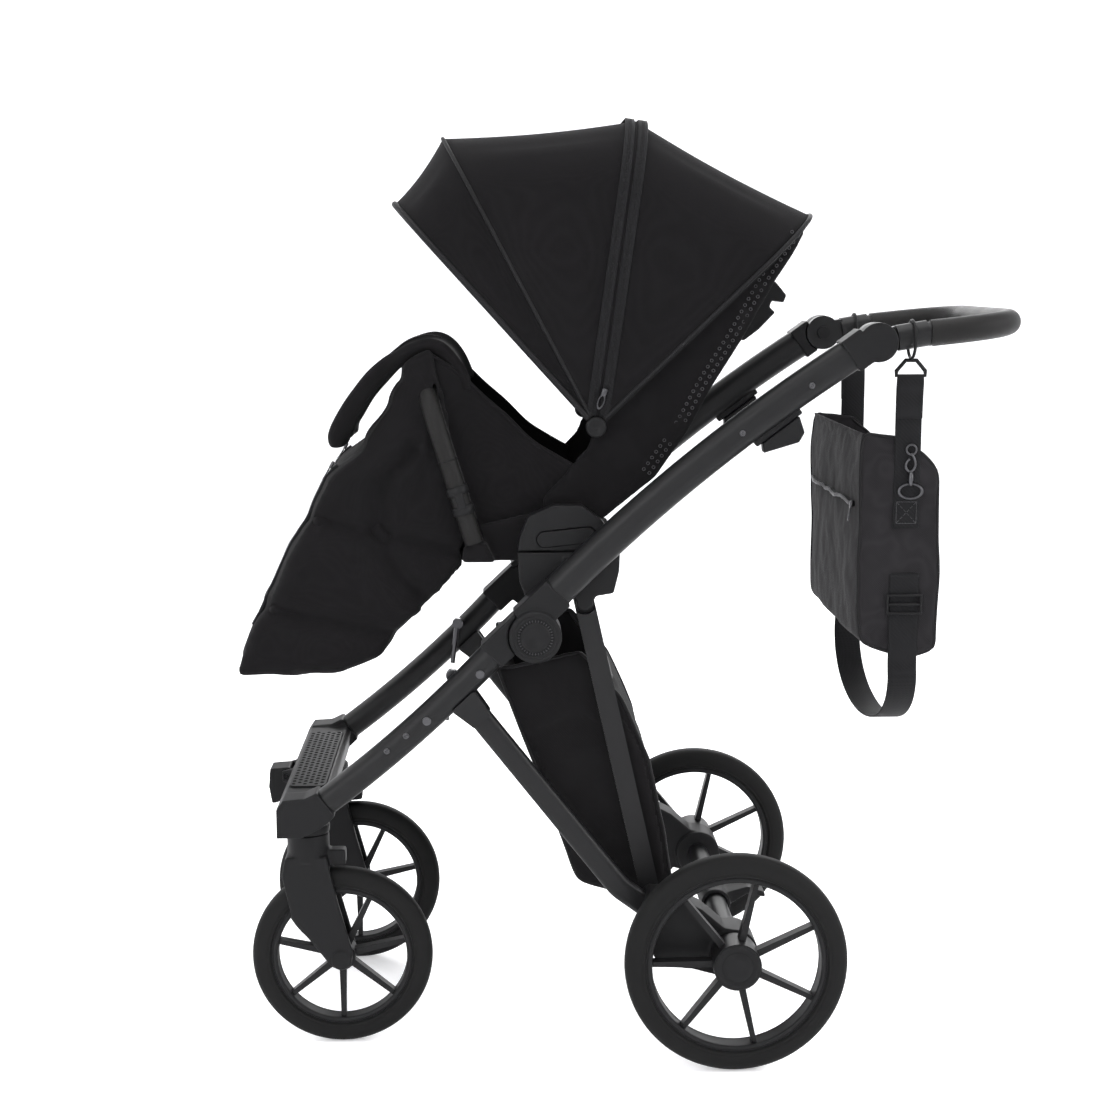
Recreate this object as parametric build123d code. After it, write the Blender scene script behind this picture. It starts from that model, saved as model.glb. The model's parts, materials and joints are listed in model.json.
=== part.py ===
from build123d import *
import math
import os

# Baby stroller: a folding frame on four spoked wheels, a seat unit with canopy, bumper bar and
# foot cover, a shopping basket and a changing bag.  Millimetres.  +Z is up, the child faces -Y,
# +X is the left-hand side.  The origin lies on the ground under the middle of the object.

# --- wheels ---
REAR_RADIUS = 145.0
REAR_WIDTH = 34.0
REAR_TRACK = 270.0
REAR_AXLE = (120.0, 145.0)
FRONT_RADIUS = 121.0
FRONT_WIDTH = 30.0
FRONT_TRACK = 157.0
FRONT_AXLE = (-396.5, 121.0)
SWIVEL_Y = -440.0
SPOKES = 7
RUNNING = 0.05
GAP = 0.5

# --- frame ---
TUBE_X = 205.0
TUBE_WIDTH = 36.0
UPPER_DEPTH = 42.0
LOWER_DEPTH = 36.0
TUBE_WALL = 2.0
HUB = (-138.0, 566.0)
HUB_RADIUS = 34.0
HUB_SPLIT_X = 203.0
HUB_OUTER_X = 232.0
TUBE_OFFSET = 20.0
HANDLE_PIVOT = (296.0, 940.0)
HANDLE_RADIUS = 25.0
HANDLE_TUBE_RADIUS = 14.0
GRIP_RADIUS = 16.5
HANDLE_END = (486.0, 964.0)
HANDLE_SLEEVE_END = (363.0, 951.0)
HANDLE_X = 196.0
HANDLE_CORNER = 85.0
HANDLE_SLOPE = 9.5
STRUT_PIVOT = (-215.0, 464.0)
STRUT_BEND = (-28.0, 226.0)
STRUT_END = (25.0, 187.0)
STRUT_DEPTH = 30.0
STRUT_WIDTH = 20.0
LEG_TOP = (-73.0, 603.0)
LEG_FOOT = (15.0, 212.0)
LEG_WIDTH = 26.0
LEG_X = (166.0, 184.0)
CROSSBAR_FRONT = -474.0
CROSSBAR_BOTTOM = 302.0
CROSSBAR_TOP = 350.0

# --- seat unit ---
SEAT_HALF = 158.0
BACK_HALF = 152.0
RECLINE_PIVOT = (-100.0, 690.0)
MOUNT_X = (173.0, 184.5)
BUMPER_X = 171.5
BUMPER_RADIUS = 12.5
BUMPER_FOOT = (-216.0, 680.0)
BUMPER_TOP = (-282.0, 892.0)
CANOPY_PIVOT = (-58.0, 830.0)
BOW_WIDTH = 12.0
BOW_THICKNESS = 3.0
REAR_BOW_ANGLE = 43.5
MIDDLE_BOW_ANGLE = 82.0
FRONT_BOW_ANGLE = 118.0
VISOR_ANGLE = 131.5
REAR_BOW_REACH = 383.0
MIDDLE_BOW_REACH = 385.0
FRONT_BOW_REACH = 407.0
VISOR_REACH = 379.0
BOW_LAYER = 3.6
CANOPY_WALL = 2.5
CANOPY_HALF = 167.5
FABRIC_ROOM = 4.5
PANEL_FOOT = 20.0
BOW_CORNER = 90.0

# --- foot cover, basket and bag ---
COVER_TOE = -530.0
COVER_HALF = 156.0
COVER_WALL = 8.0
BASKET_HALF = 165.5
BASKET_WALL = 4.0
BAG_HALF = 189.0
BAG_WALL = 4.0
BAG_HANG_Y = 343.0
STRAP_THICKNESS = 2.5

os.makedirs("parts", exist_ok=True)
MIDDLE_Y = (COVER_TOE + HANDLE_END[0] + GRIP_RADIUS) / 2


def save(name, shape):
    """Writes a piece, moved so that the origin is under the middle of the object."""
    export_step(shape.moved(Location((0, -MIDDLE_Y, 0))), f"parts/{name}.step")


def both(name, left):
    """Saves a left-hand piece and its mirror image."""
    save("left_" + name, left)
    save("right_" + name, mirror(left, about=Plane.YZ))


def pair(left):
    """One group of a left-hand piece and its mirror image."""
    return Compound([*left.solids(), *mirror(left, about=Plane.YZ).solids()])


def plate(points, x_low, x_high, rounding=0.0):
    """An outline in side view, (y, z) points, from x_low to x_high."""
    face = make_face(Plane.YZ.offset(x_low) * Polyline(*points, close=True))
    if rounding:
        face = fillet(face.vertices(), rounding)
    return extrude(face, x_high - x_low, dir=(1, 0, 0))


def disc(centre, radius, x_low, x_high):
    """A cylinder along X about a (y, z) centre."""
    circle = Plane.YZ.offset(x_low) * Pos(*centre) * Circle(radius)
    return extrude(circle, x_high - x_low, dir=(1, 0, 0))


def side(point, along, up, direction):
    """The (y, z) point that lies along and up from another, in axes turned by direction, in degrees."""
    c = math.cos(math.radians(direction))
    s = math.sin(math.radians(direction))
    return (point[0] + along * c - up * s, point[1] + along * s + up * c)


def frame_tube(start, middle, end, depth):
    """A hollow oval tube that follows a gentle arc in side view."""
    path = ThreePointArc(*[(TUBE_X, *p) for p in (start, middle, end)])
    section = Plane(path @ 0, x_dir=(1, 0, 0), z_dir=path % 0)
    outer = RectangleRounded(TUBE_WIDTH, depth, TUBE_WIDTH / 2 - 2)
    inner = RectangleRounded(TUBE_WIDTH - 2 * TUBE_WALL, depth - 2 * TUBE_WALL, TUBE_WIDTH / 2 - 2 - TUBE_WALL)
    return sweep(section * (outer - inner), path)


# --- wheels ---
def tyre(centre, x_centre, radius, inner, width):
    half = width / 2
    crown = 5.0
    profile = Polyline(
        (inner, -half + 4), (inner + 6, -half), (radius - crown - 7, -half), (radius - 3, -half + 8),
        (radius, -4), (radius, 4), (radius - 3, half - 8), (radius - crown - 7, half), (inner + 6, half),
        (inner, half - 4), close=True,
    )
    turned = revolve(make_face(Plane.XZ * profile), Axis.Z)
    return turned.rotate(Axis.Y, 90).moved(Location((x_centre, *centre)))


def rim(centre, x_centre, outer, inner, width, hub_radius, hub_width, bore, first_angle):
    ring = disc((0, 0), outer, -width / 2, width / 2) - disc((0, 0), inner, -width / 2 - 1, width / 2 + 1)
    hub = disc((0, 0), hub_radius, -hub_width / 2, hub_width / 2)
    for k in range(SPOKES):
        angle = first_angle + 360 / SPOKES * k
        root = 5.0
        tip = 3.2
        reach = inner + 3
        outline = [(0, -root), (reach, -tip), (reach, tip), (0, root)]
        spoke = plate([side((0, 0), *p, angle) for p in outline], -width * 0.3, width * 0.3)
        hub += spoke
    wheel = (hub + ring) - disc((0, 0), bore, -hub_width, hub_width)
    return wheel.moved(Location((x_centre, *centre)))


REAR_RIM_OUTER = REAR_RADIUS - 27
REAR_RIM_INNER = REAR_RADIUS - 35
FRONT_RIM_OUTER = FRONT_RADIUS - 26
FRONT_RIM_INNER = FRONT_RADIUS - 34
STUB_RADIUS = 8.0
REAR_HUB_WIDTH = 44.0
FRONT_HUB_WIDTH = 34.0
PIN_RADIUS = 5.0

both("rear_tyre", tyre(REAR_AXLE, REAR_TRACK, REAR_RADIUS, REAR_RIM_OUTER, REAR_WIDTH))
both("rear_rim", rim(REAR_AXLE, REAR_TRACK, REAR_RIM_OUTER, REAR_RIM_INNER, REAR_WIDTH - 8, 31,
                     REAR_HUB_WIDTH, STUB_RADIUS + RUNNING, 25.7))
both("front_tyre", tyre(FRONT_AXLE, FRONT_TRACK, FRONT_RADIUS, FRONT_RIM_OUTER, FRONT_WIDTH))
both("front_rim", rim(FRONT_AXLE, FRONT_TRACK, FRONT_RIM_OUTER, FRONT_RIM_INNER, FRONT_WIDTH - 8, 18,
                      FRONT_WIDTH + 1, PIN_RADIUS + RUNNING, 13.0))

# --- front fork and crossbar ---
FORK_X = (FRONT_TRACK - 26, FRONT_TRACK + 26)
WHEEL_ROOM_X = (FRONT_TRACK - FRONT_WIDTH / 2 - 1.5, FRONT_TRACK + FRONT_WIDTH / 2 + 1.5)
FORK_TOP = 291.0
CROWN_RADIUS = 28.0


def front_fork():
    axle_y = FRONT_AXLE[0]
    leg = [
        (SWIVEL_Y - 34, 237), (SWIVEL_Y - 21, 177), (axle_y - 29, 131), (axle_y - 14, 111), (axle_y, 105),
        (axle_y + 13, 112), (axle_y + 15, 130), (axle_y - 3, 196), (SWIVEL_Y + 29, 246), (SWIVEL_Y + 26, 262),
        (SWIVEL_Y - 29, 262),
    ]
    body = plate(leg, *FORK_X, rounding=4)
    tab = [(SWIVEL_Y + 24, 245), (SWIVEL_Y + 50, 247), (SWIVEL_Y + 50, 268), (SWIVEL_Y + 24, 268)]
    body += plate(tab, FRONT_TRACK - 10, FRONT_TRACK + 10, rounding=3)
    body += Pos(FRONT_TRACK, SWIVEL_Y, 255) * Cylinder(CROWN_RADIUS, FORK_TOP - 255, align=BASE)
    body -= disc(FRONT_AXLE, FRONT_RADIUS + 3, *WHEEL_ROOM_X)
    body += disc(FRONT_AXLE, PIN_RADIUS, FORK_X[0] - 3, FORK_X[1] + 3)
    body += disc(FRONT_AXLE, 13, FORK_X[1], FORK_X[1] + 4)
    body += disc(FRONT_AXLE, 13, FORK_X[0] - 4, FORK_X[0])
    body += Pos(FRONT_TRACK, SWIVEL_Y, FORK_TOP - 2) * Cylinder(6, 24, align=BASE)
    return body


BASE = (Align.CENTER, Align.CENTER, Align.MIN)
both("front_fork", front_fork())

LOWER_FRONT = (-409.0, 347.0)
LOWER_MIDDLE = (-278.0, 456.0)
LOWER_FRONT_SLOPE = 36.8
LOWER_SLOPE = 43.5
UPPER_SLOPE = 43.5
LOWER_TOP = side(HUB, -44.0, TUBE_OFFSET, LOWER_SLOPE)
UPPER_FOOT = side(HUB, 44.0, TUBE_OFFSET, UPPER_SLOPE)
UPPER_MIDDLE = (47.0, 765.0)
UPPER_TOP = (270.0, 928.5)
SOCKET = 15.0


def lower_tube():
    tube = frame_tube(LOWER_FRONT, LOWER_MIDDLE, LOWER_TOP, LOWER_DEPTH)
    lug = [side(STRUT_PIVOT, a, u, LOWER_SLOPE) for a, u in ((-20, 24), (-14, -14), (14, -14), (20, 24))]
    half = STRUT_WIDTH / 2 + GAP
    cheeks = plate(lug, TUBE_X - half - 6, TUBE_X + half + 6, rounding=4)
    cheeks -= Pos(TUBE_X, *STRUT_PIVOT) * Box(2 * half, 90, 90)
    solid_tube = frame_solid(LOWER_FRONT, LOWER_MIDDLE, LOWER_TOP, LOWER_DEPTH)
    pin = disc(STRUT_PIVOT, PIN_RADIUS, TUBE_X - half - 6, TUBE_X + half + 6)
    return tube + (cheeks - solid_tube) + pin


def frame_solid(start, middle, end, depth):
    """The space that a frame tube fills, with its hollow."""
    path = ThreePointArc(*[(TUBE_X, *p) for p in (start, middle, end)])
    section = Plane(path @ 0, x_dir=(1, 0, 0), z_dir=path % 0)
    return sweep(section * RectangleRounded(TUBE_WIDTH, depth, TUBE_WIDTH / 2 - 2), path)


both("lower_tube", lower_tube())
both("upper_tube", frame_tube(UPPER_FOOT, UPPER_MIDDLE, UPPER_TOP, UPPER_DEPTH))

SEAM = 19.5
BLOCK_X = (TUBE_X - 21, TUBE_X + 21)


def front_crossbar():
    seam_high = side(LOWER_FRONT, -GAP, SEAM, LOWER_FRONT_SLOPE)
    seam_low = side(LOWER_FRONT, -GAP, -SEAM, LOWER_FRONT_SLOPE)
    front = CROSSBAR_FRONT
    end = [
        (front, CROSSBAR_BOTTOM), (front, CROSSBAR_TOP - 10), (front + 8, CROSSBAR_TOP + 2),
        (front + 36, CROSSBAR_TOP + 4), seam_high, seam_low, (-414, 316), (-440, CROSSBAR_BOTTOM),
    ]
    block = plate(end, *BLOCK_X)
    bar_outline = [
        (front, CROSSBAR_BOTTOM), (front, CROSSBAR_TOP - 10), (front + 8, CROSSBAR_TOP),
        (-414, CROSSBAR_TOP), (-408, CROSSBAR_TOP - 6), (-412, 314), (-424, CROSSBAR_BOTTOM),
    ]
    bar = plate(bar_outline, -BLOCK_X[0] - 1, BLOCK_X[0] + 1)
    bar -= Pos(0, -441, CROSSBAR_TOP) * Box(2 * PAD_HALF + 0.2, PAD_DEPTH + 0.2, 2 * PAD_SINK)
    body = bar + block + mirror(block, about=Plane.YZ)
    for x in (-FRONT_TRACK, FRONT_TRACK):
        boss = Cylinder(CROWN_RADIUS + 1, CROSSBAR_BOTTOM - FORK_TOP, align=BASE)
        body += Pos(x, SWIVEL_Y, FORK_TOP + GAP) * boss
        body -= Pos(x, SWIVEL_Y, FORK_TOP - 5) * Cylinder(6 + RUNNING, 32, align=BASE)
    for x in (-24, 24):
        body += plate([(front - 14, 324), (front - 14, 338), (front, 342), (front, 318)], x - 4, x + 4)
    body -= disc(LOCK_PIVOT, 3 + RUNNING, -40, 40)
    return body


PAD_HALF = 152.0
PAD_DEPTH = 48.0
PAD_SINK = 2.0
LOCK_PIVOT = (-482.0, 331.0)
save("front_crossbar", front_crossbar())
pad = Pos(0, -441, CROSSBAR_TOP - PAD_SINK) * Box(2 * PAD_HALF, PAD_DEPTH, 4, align=BASE)
save("step_pad", fillet(pad.edges().filter_by(Axis.Z), 10))

lever_outline = [(-506, 340), (-478, 342), (-476, 320), (-494, 292), (-504, 290), (-508, 314)]
lever = plate(lever_outline, -19.5, 19.5, rounding=2)
save("swivel_lock_lever", lever + disc(LOCK_PIVOT, 3, -27.5, 27.5))

# --- fold hub ---
SLEEVE_SIDE = 1.5


def hub_sleeve(sign, depth, slope):
    """The plastic sleeve on one side of the hub, from the parting line to the tube's end."""
    low = TUBE_OFFSET - depth / 2 - SLEEVE_SIDE
    high = TUBE_OFFSET + depth / 2 + SLEEVE_SIDE
    near = 0.3
    corners = [(sign * near, low), (sign * near, high), (sign * 60, high), (sign * 60, low)]
    x_low = TUBE_X - TUBE_WIDTH / 2 - SLEEVE_SIDE
    x_high = TUBE_X + TUBE_WIDTH / 2 + SLEEVE_SIDE
    return plate([side(HUB, *c, slope) for c in corners], x_low, x_high)


def hub_base():
    room = disc(HUB, HUB_RADIUS + 0.6, HUB_SPLIT_X + 0.2, 260)
    body = hub_sleeve(-1, LOWER_DEPTH, LOWER_SLOPE) - room
    body += disc(HUB, HUB_RADIUS, TUBE_X - 19.5, HUB_SPLIT_X)
    body -= frame_solid(LOWER_FRONT, LOWER_MIDDLE, LOWER_TOP, LOWER_DEPTH)
    return body + disc(HUB, 9, HUB_SPLIT_X, 226)


def fold_hub():
    room = disc(HUB, HUB_RADIUS + 0.6, 150, HUB_SPLIT_X + 0.3)
    body = hub_sleeve(1, UPPER_DEPTH, UPPER_SLOPE) - room
    ring = disc(HUB, HUB_RADIUS, HUB_SPLIT_X + 0.5, HUB_OUTER_X)
    ring = chamfer(ring.faces().sort_by(Axis.X)[-1].edges(), 3)
    body += ring
    body -= frame_solid(UPPER_FOOT, UPPER_MIDDLE, UPPER_TOP, UPPER_DEPTH)
    return body - disc(HUB, 9 + RUNNING, HUB_SPLIT_X - 1, 226.5)


both("hub_base", hub_base())
both("fold_hub", fold_hub())

# --- rear legs, struts and axle ---
BASKET_PIN = 6.0
OPEN_PIVOT_ROOM = 3.0


def rear_leg():
    length = math.dist(LEG_TOP, LEG_FOOT)
    angle = math.degrees(math.atan2(LEG_FOOT[1] - LEG_TOP[1], LEG_FOOT[0] - LEG_TOP[0]))
    middle = ((LEG_TOP[0] + LEG_FOOT[0]) / 2, (LEG_TOP[1] + LEG_FOOT[1]) / 2)
    slot = Plane.YZ.offset(LEG_X[0]) * Pos(*middle) * Rot(0, 0, angle) * SlotCenterToCenter(length, LEG_WIDTH)
    body = extrude(slot, LEG_X[1] - LEG_X[0], dir=(1, 0, 0))
    body -= disc(LEG_TOP, LEG_WIDTH / 2 + 3, MOUNT_X[0] - 0.5, LEG_X[1] + 1)
    body -= disc(LEG_TOP, PIN_RADIUS + OPEN_PIVOT_ROOM, 150, 200)
    return body - disc(LEG_FOOT, BASKET_PIN + RUNNING, 150, 200)


both("rear_leg", rear_leg())
HOUSING_X = (196.0, 243.0)
DRUM_RADIUS = 33.0


def axle_housing():
    axle_y = REAR_AXLE[0]
    outline = [
        (1, 204), (11, 227), (38, 226), (79, 205), (axle_y - 12, 180), (axle_y, 178), (axle_y, 112),
        (axle_y - 22, 116), (66, 125), (24, 128), (12, 150),
    ]
    body = plate(outline, *HOUSING_X)
    body += disc(REAR_AXLE, DRUM_RADIUS, HOUSING_X[0] - 6, HOUSING_X[1] + 1)
    body += disc(LEG_FOOT, BASKET_PIN, LEG_X[0], HOUSING_X[0])
    body += disc(LEG_FOOT, BASKET_PIN + 5, LEG_X[1] + GAP, HOUSING_X[0])
    return body + disc(REAR_AXLE, STUB_RADIUS, HOUSING_X[1], REAR_TRACK + REAR_HUB_WIDTH / 2 - 4)


def front_strut():
    path = FilletPolyline(STRUT_PIVOT, STRUT_BEND, STRUT_END, radius=60)
    path = Plane.YZ.offset(TUBE_X) * path
    section = Plane(path @ 0, x_dir=(1, 0, 0), z_dir=path % 0)
    corner = STRUT_WIDTH / 2 - 2
    body = sweep(section * RectangleRounded(STRUT_WIDTH, STRUT_DEPTH, corner), path)
    body += disc(STRUT_PIVOT, STRUT_DEPTH / 2, TUBE_X - STRUT_WIDTH / 2, TUBE_X + STRUT_WIDTH / 2)
    return (body - disc(STRUT_PIVOT, PIN_RADIUS + RUNNING, 150, 260)) - axle_housing()


both("axle_housing", axle_housing())
both("front_strut", front_strut())
AXLE_TUBE_RADIUS = 15.0
axle_end = HOUSING_X[0] - 6
save("rear_axle_tube", disc(REAR_AXLE, AXLE_TUBE_RADIUS, -axle_end, axle_end))

collar = disc(REAR_AXLE, AXLE_TUBE_RADIUS + 6, -46, 46) - disc(REAR_AXLE, AXLE_TUBE_RADIUS + RUNNING, -50, 50)
ax_y, ax_z = REAR_AXLE
pedal_arm = [(ax_y + 10, ax_z + 12), (ax_y + 46, ax_z + 22), (ax_y + 70, ax_z + 14), (ax_y + 72, ax_z + 6),
             (ax_y + 46, ax_z + 12), (ax_y + 17, ax_z - 6)]
pedal = plate(pedal_arm, -38, 38) - disc(REAR_AXLE, AXLE_TUBE_RADIUS + 3, -60, 60)
save("brake_pedal", collar + pedal)


# --- seat mounts and handle ---
def seat_mount():
    outline = [(-160, 669), (-158, 632), (-146, 601), (-86, 609), (-80, 596), (-66, 596), (-58, 611),
               (-35, 615), (-28, 644), (-27, 669)]
    body = plate(outline, *MOUNT_X)
    body += disc(LEG_TOP, 11, *MOUNT_X) + disc(LEG_TOP, PIN_RADIUS, LEG_X[0] + 1, MOUNT_X[1])
    body -= plate(TONGUE_ROOM, 175.6, 181.4)
    body += plate([(-70, 640), (-100, 640), (-100, 662), (-70, 662)], MOUNT_X[1], TUBE_X - 12)
    return body - frame_solid(UPPER_FOOT, UPPER_MIDDLE, UPPER_TOP, UPPER_DEPTH)


TONGUE = [(-115, 636), (-75, 636), (-75, 672), (-115, 672)]
TONGUE_ROOM = [(-115.5, 635.5), (-74.5, 635.5), (-74.5, 690), (-115.5, 690)]
both("seat_mount", seat_mount())


def handle_joint():
    """The outer half of the handle's tilting joint, closed onto the upper tube's end."""
    slope = 36.0
    foot = side(UPPER_TOP, 3 - SOCKET, 0, slope)
    outline = [side(foot, a, u, slope) for a, u in ((0, 22.5), (30, 22.5), (30, -22.5), (0, -22.5))]
    body = plate(outline, TUBE_X - 19.5, TUBE_X + 19.5)
    body -= disc(HANDLE_PIVOT, HANDLE_RADIUS + 0.6, 150, 201.3)
    body += disc(HANDLE_PIVOT, HANDLE_RADIUS, 201.5, TUBE_X + 19.5)
    body -= frame_solid(UPPER_FOOT, UPPER_MIDDLE, UPPER_TOP, UPPER_DEPTH)
    return body - disc(HANDLE_PIVOT, 6 + RUNNING, 200, 218)


both("handle_joint", handle_joint())


def handle_path():
    start = HANDLE_SLEEVE_END
    pitch = math.degrees(math.atan2(HANDLE_END[1] - start[1], HANDLE_END[0] - start[0]))
    begin = side(start, -12, 0, pitch)
    reach = math.dist(begin, HANDLE_END)
    s = math.sin(math.radians(pitch))
    c = math.cos(math.radians(pitch))
    plane = Plane(origin=(0, *begin), x_dir=(1, 0, 0), z_dir=(0, -s, c))
    x = HANDLE_X
    return plane * FilletPolyline((x, 0), (x, reach), (-x, reach), (-x, 0), radius=HANDLE_CORNER)


def round_bar(path, radius, hollow=0.0):
    section = Plane(path @ 0, z_dir=path % 0)
    face = Circle(radius) - Circle(hollow) if hollow else Circle(radius)
    return sweep(section * face, path)


def handle_bar():
    path = handle_path()
    body = round_bar(path, HANDLE_TUBE_RADIUS, HANDLE_TUBE_RADIUS - 2)
    start = side(HANDLE_PIVOT, 28, 0, HANDLE_SLOPE)
    sleeve_plane = Plane(origin=(HANDLE_X, *start), z_dir=(0, *side((0, 0), 1, 0, HANDLE_SLOPE)))
    length = math.dist(start, HANDLE_SLEEVE_END)
    sleeve = extrude(sleeve_plane * Circle(GRIP_RADIUS), length)
    joint = disc(HANDLE_PIVOT, HANDLE_RADIUS - 0.5, 184, 201)
    neck = [side(HANDLE_PIVOT, a, u, HANDLE_SLOPE) for a, u in ((0, 16), (30, 15), (30, -15), (0, -16))]
    joint += plate(neck, 184, 201)
    joint += disc(HANDLE_PIVOT, 6, 201, 217)
    joint -= disc(HANDLE_PIVOT, BUTTON_RADIUS + 0.2, 180, 190)
    arm = joint + sleeve
    return body + arm + mirror(arm, about=Plane.YZ)


BUTTON_RADIUS = 9.0
save("handle_bar", handle_bar())
grip = round_bar(handle_path(), GRIP_RADIUS, HANDLE_TUBE_RADIUS + RUNNING)
sleeve_lean = GRIP_RADIUS * math.sin(math.radians(HANDLE_SLOPE))
clear_sleeve = Pos(0, HANDLE_SLEEVE_END[0] + sleeve_lean + 0.3 - 50, 950) * Box(500, 100, 100)
save("handle_grip", grip - clear_sleeve)
both("handle_button", disc(HANDLE_PIVOT, BUTTON_RADIUS, 181, 186))


def fold_trigger():
    """The pull tab under the upper tube, which slides along it."""
    here = (152.0, 812.0)
    slope = 37.0
    tab = [(0, 0), (58, 0), (51, -21), (38, -26.6), (-6, -10.4)]
    outline = [side(here, a, u, slope) for a, u in tab]
    return plate(outline, TUBE_X - 11, TUBE_X + 11) - fat_tube


path = ThreePointArc(*[(TUBE_X, *p) for p in (UPPER_FOOT, UPPER_MIDDLE, UPPER_TOP)])
fat_section = Plane(path @ 0, x_dir=(1, 0, 0), z_dir=path % 0)
fat_tube = sweep(fat_section * Rectangle(TUBE_WIDTH + 2, UPPER_DEPTH + 0.8), path)
both("fold_trigger", fold_trigger())


# --- seat unit ---
PAN_TOP = [(-280, 662), (-200, 667), (-104, 670)]
REST_TOP = [(-286, 662), (-352, 572)]


def seat_shell():
    """The seat pan with its leg rest, the cheeks with the recline pins, and the bumper bar's plugs."""
    pan = [(-220, 654), (-40, 655), (-20, 668), (-40, 672), (-104, 670), (-220, 665)]
    body = plate(pan, -SEAT_HALF, SEAT_HALF)
    half = COVER_HALF - COVER_WALL - GAP
    body += plate([(-280, 652), (-200, 655), *reversed(PAN_TOP[:2])], -half, half)
    body += plate([(-270, 653), (-280, 662), *REST_TOP, (-346, 566), (-276, 652)], -half, half)
    wall = [(-220, 655), (-220, 700), (-150, 716), (-60, 712), (-30, 690), (-30, 655)]
    sides = plate(wall, SEAT_HALF - 5, SEAT_HALF)
    sides += disc(RECLINE_PIVOT, 8, BACK_HALF - 5.5, SEAT_HALF)
    sides += plate([(-232, 655), (-230, 674.4), (-202, 683.2), (-188, 655)], SEAT_HALF - 1, BUMPER_X + 8)
    plug_foot = side(BUMPER_FOOT, -4, 0, BUMPER_SLOPE)
    plug_plane = Plane(origin=(BUMPER_X, *plug_foot), z_dir=(0, *side((0, 0), 1, 0, BUMPER_SLOPE)))
    sides += extrude(plug_plane * Circle(BUMPER_HOLLOW - 0.1), 30)
    return body + sides + mirror(sides, about=Plane.YZ)


BUMPER_HOLLOW = 8.0
BUMPER_SLOPE = math.degrees(math.atan2(BUMPER_TOP[1] - BUMPER_FOOT[1], BUMPER_TOP[0] - BUMPER_FOOT[0]))
save("seat_shell", seat_shell())


def seat_adapter():
    outline = [
        (-160, 671), (-157, 689), (-146, 716), (-114, 730), (-77, 730), (-52, 712), (-39, 695), (-36, 671),
    ]
    body = plate(outline, SEAT_HALF, MOUNT_X[1], rounding=2)
    body += plate(TONGUE, 176, 181)
    oval = Plane.YZ.offset(MOUNT_X[1] - 6) * Pos(*RELEASE_CENTRE) * Rot(0, 0, 6) * SlotOverall(76, 20)
    return body - extrude(oval, 10, dir=(1, 0, 0))


RELEASE_CENTRE = (-97.0, 689.0)
both("seat_adapter", seat_adapter())
button = Plane.YZ.offset(MOUNT_X[1] - 2) * Pos(*RELEASE_CENTRE) * Rot(0, 0, 6) * SlotOverall(75.4, 19.4)
both("seat_release", extrude(button, 4, dir=(1, 0, 0)))


def seat_cushion():
    outline = [*PAN_TOP, (-82, 698), (-200, 697), (-288, 690)]
    leg = [*REST_TOP, (-366, 584), (-302, 680), (-280, 684)]
    return plate(outline, -146, 146) + plate(leg, -140, 140)


save("seat_cushion", seat_cushion())


def bumper_path():
    s = math.sin(math.radians(BUMPER_SLOPE))
    c = math.cos(math.radians(BUMPER_SLOPE))
    reach = math.dist(BUMPER_TOP, BUMPER_FOOT)
    plane = Plane(origin=(0, *BUMPER_FOOT), x_dir=(1, 0, 0), z_dir=(0, -s, c))
    x = BUMPER_X
    return plane * FilletPolyline((x, 0), (x, reach), (-x, reach), (-x, 0), radius=75)


save("bumper_bar", round_bar(bumper_path(), BUMPER_RADIUS, BUMPER_HOLLOW))


def shell_of(outer, inner, x_half, wall):
    """A hollow with the outline outer in side view and the hollow inner, closed at both sides."""
    return plate(outer, -x_half, x_half) - plate(inner, -x_half + wall, x_half - wall)


def foot_cover():
    outer = [(COVER_TOE, 503), (-506, 566), (-468, 640), (-432, 712), (-385, 800), (-378, 846), (-352, 880),
             (-310, 918), (-268, 932), (-262, 905), (-240, 800), (-226, 700), (-232, 645), (-290, 598),
             (-340, 530), (-400, 508), (-460, 500)]
    inner = [(-514, 512), (-496, 560), (-458, 636), (-422, 710), (-376, 796), (-368, 840), (-344, 870),
             (-306, 905), (-240, 940), (-200, 760), (-215, 650), (-296, 612), (-350, 544), (-404, 520),
             (-460, 512)]
    body = shell_of(outer, inner, COVER_HALF, COVER_WALL)
    bar_room = round_bar(bumper_path(), BUMPER_RADIUS + 1)
    return body - bar_room


save("foot_cover", foot_cover())


def bow_plane(angle):
    """The plane through the canopy pivot that a bow lies in."""
    a = math.radians(angle)
    return Plane(origin=(0, *CANOPY_PIVOT), x_dir=(1, 0, 0), z_dir=(0, -math.sin(a), math.cos(a)))


def bow_face(half, low, high, plane):
    """An upright region with rounded top corners, from low to high along a bow plane."""
    face = make_face(Polyline((half, low), (half, high), (-half, high), (-half, low), close=True))
    corners = face.vertices().filter_by_position(Axis.Y, high - 1, high + 1)
    return plane * fillet(corners, BOW_CORNER)


# --- backrest and canopy ---
BACK_FRONT = [(-98, 660), (-72, 706), (9, 773), (51, 832), (82, 889), (119, 948), (163, 1026), (208, 1090)]


def backrest_shell():
    wing = [(-88, 676), (-58, 700), (21, 763), (63, 824), (94, 881), (131, 940), (175, 1018), (228, 1092),
            (208, 1104), (40, 930), (-52, 842), (-70, 800), (-128, 735), (-118, 680)]
    hollow = [*BACK_FRONT, (190, 1130), (20, 960), (-160, 842), (-160, 700)]
    body = plate(wing, -BACK_HALF, BACK_HALF) - plate(hollow, -BACK_HALF + 5, BACK_HALF - 5)
    body &= back_outline()
    body -= disc(RECLINE_PIVOT, 8 + RUNNING, -400, 400)
    for x in (-1, 1):
        body += disc(CANOPY_PIVOT, PIN_RADIUS, *sorted((x * (BACK_HALF - 5), x * (CANOPY_HALF + 3))))
        body += disc(CANOPY_PIVOT, 13, *sorted((x * (CANOPY_HALF + 0.5), x * (CANOPY_HALF + 4))))
    return body


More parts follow.
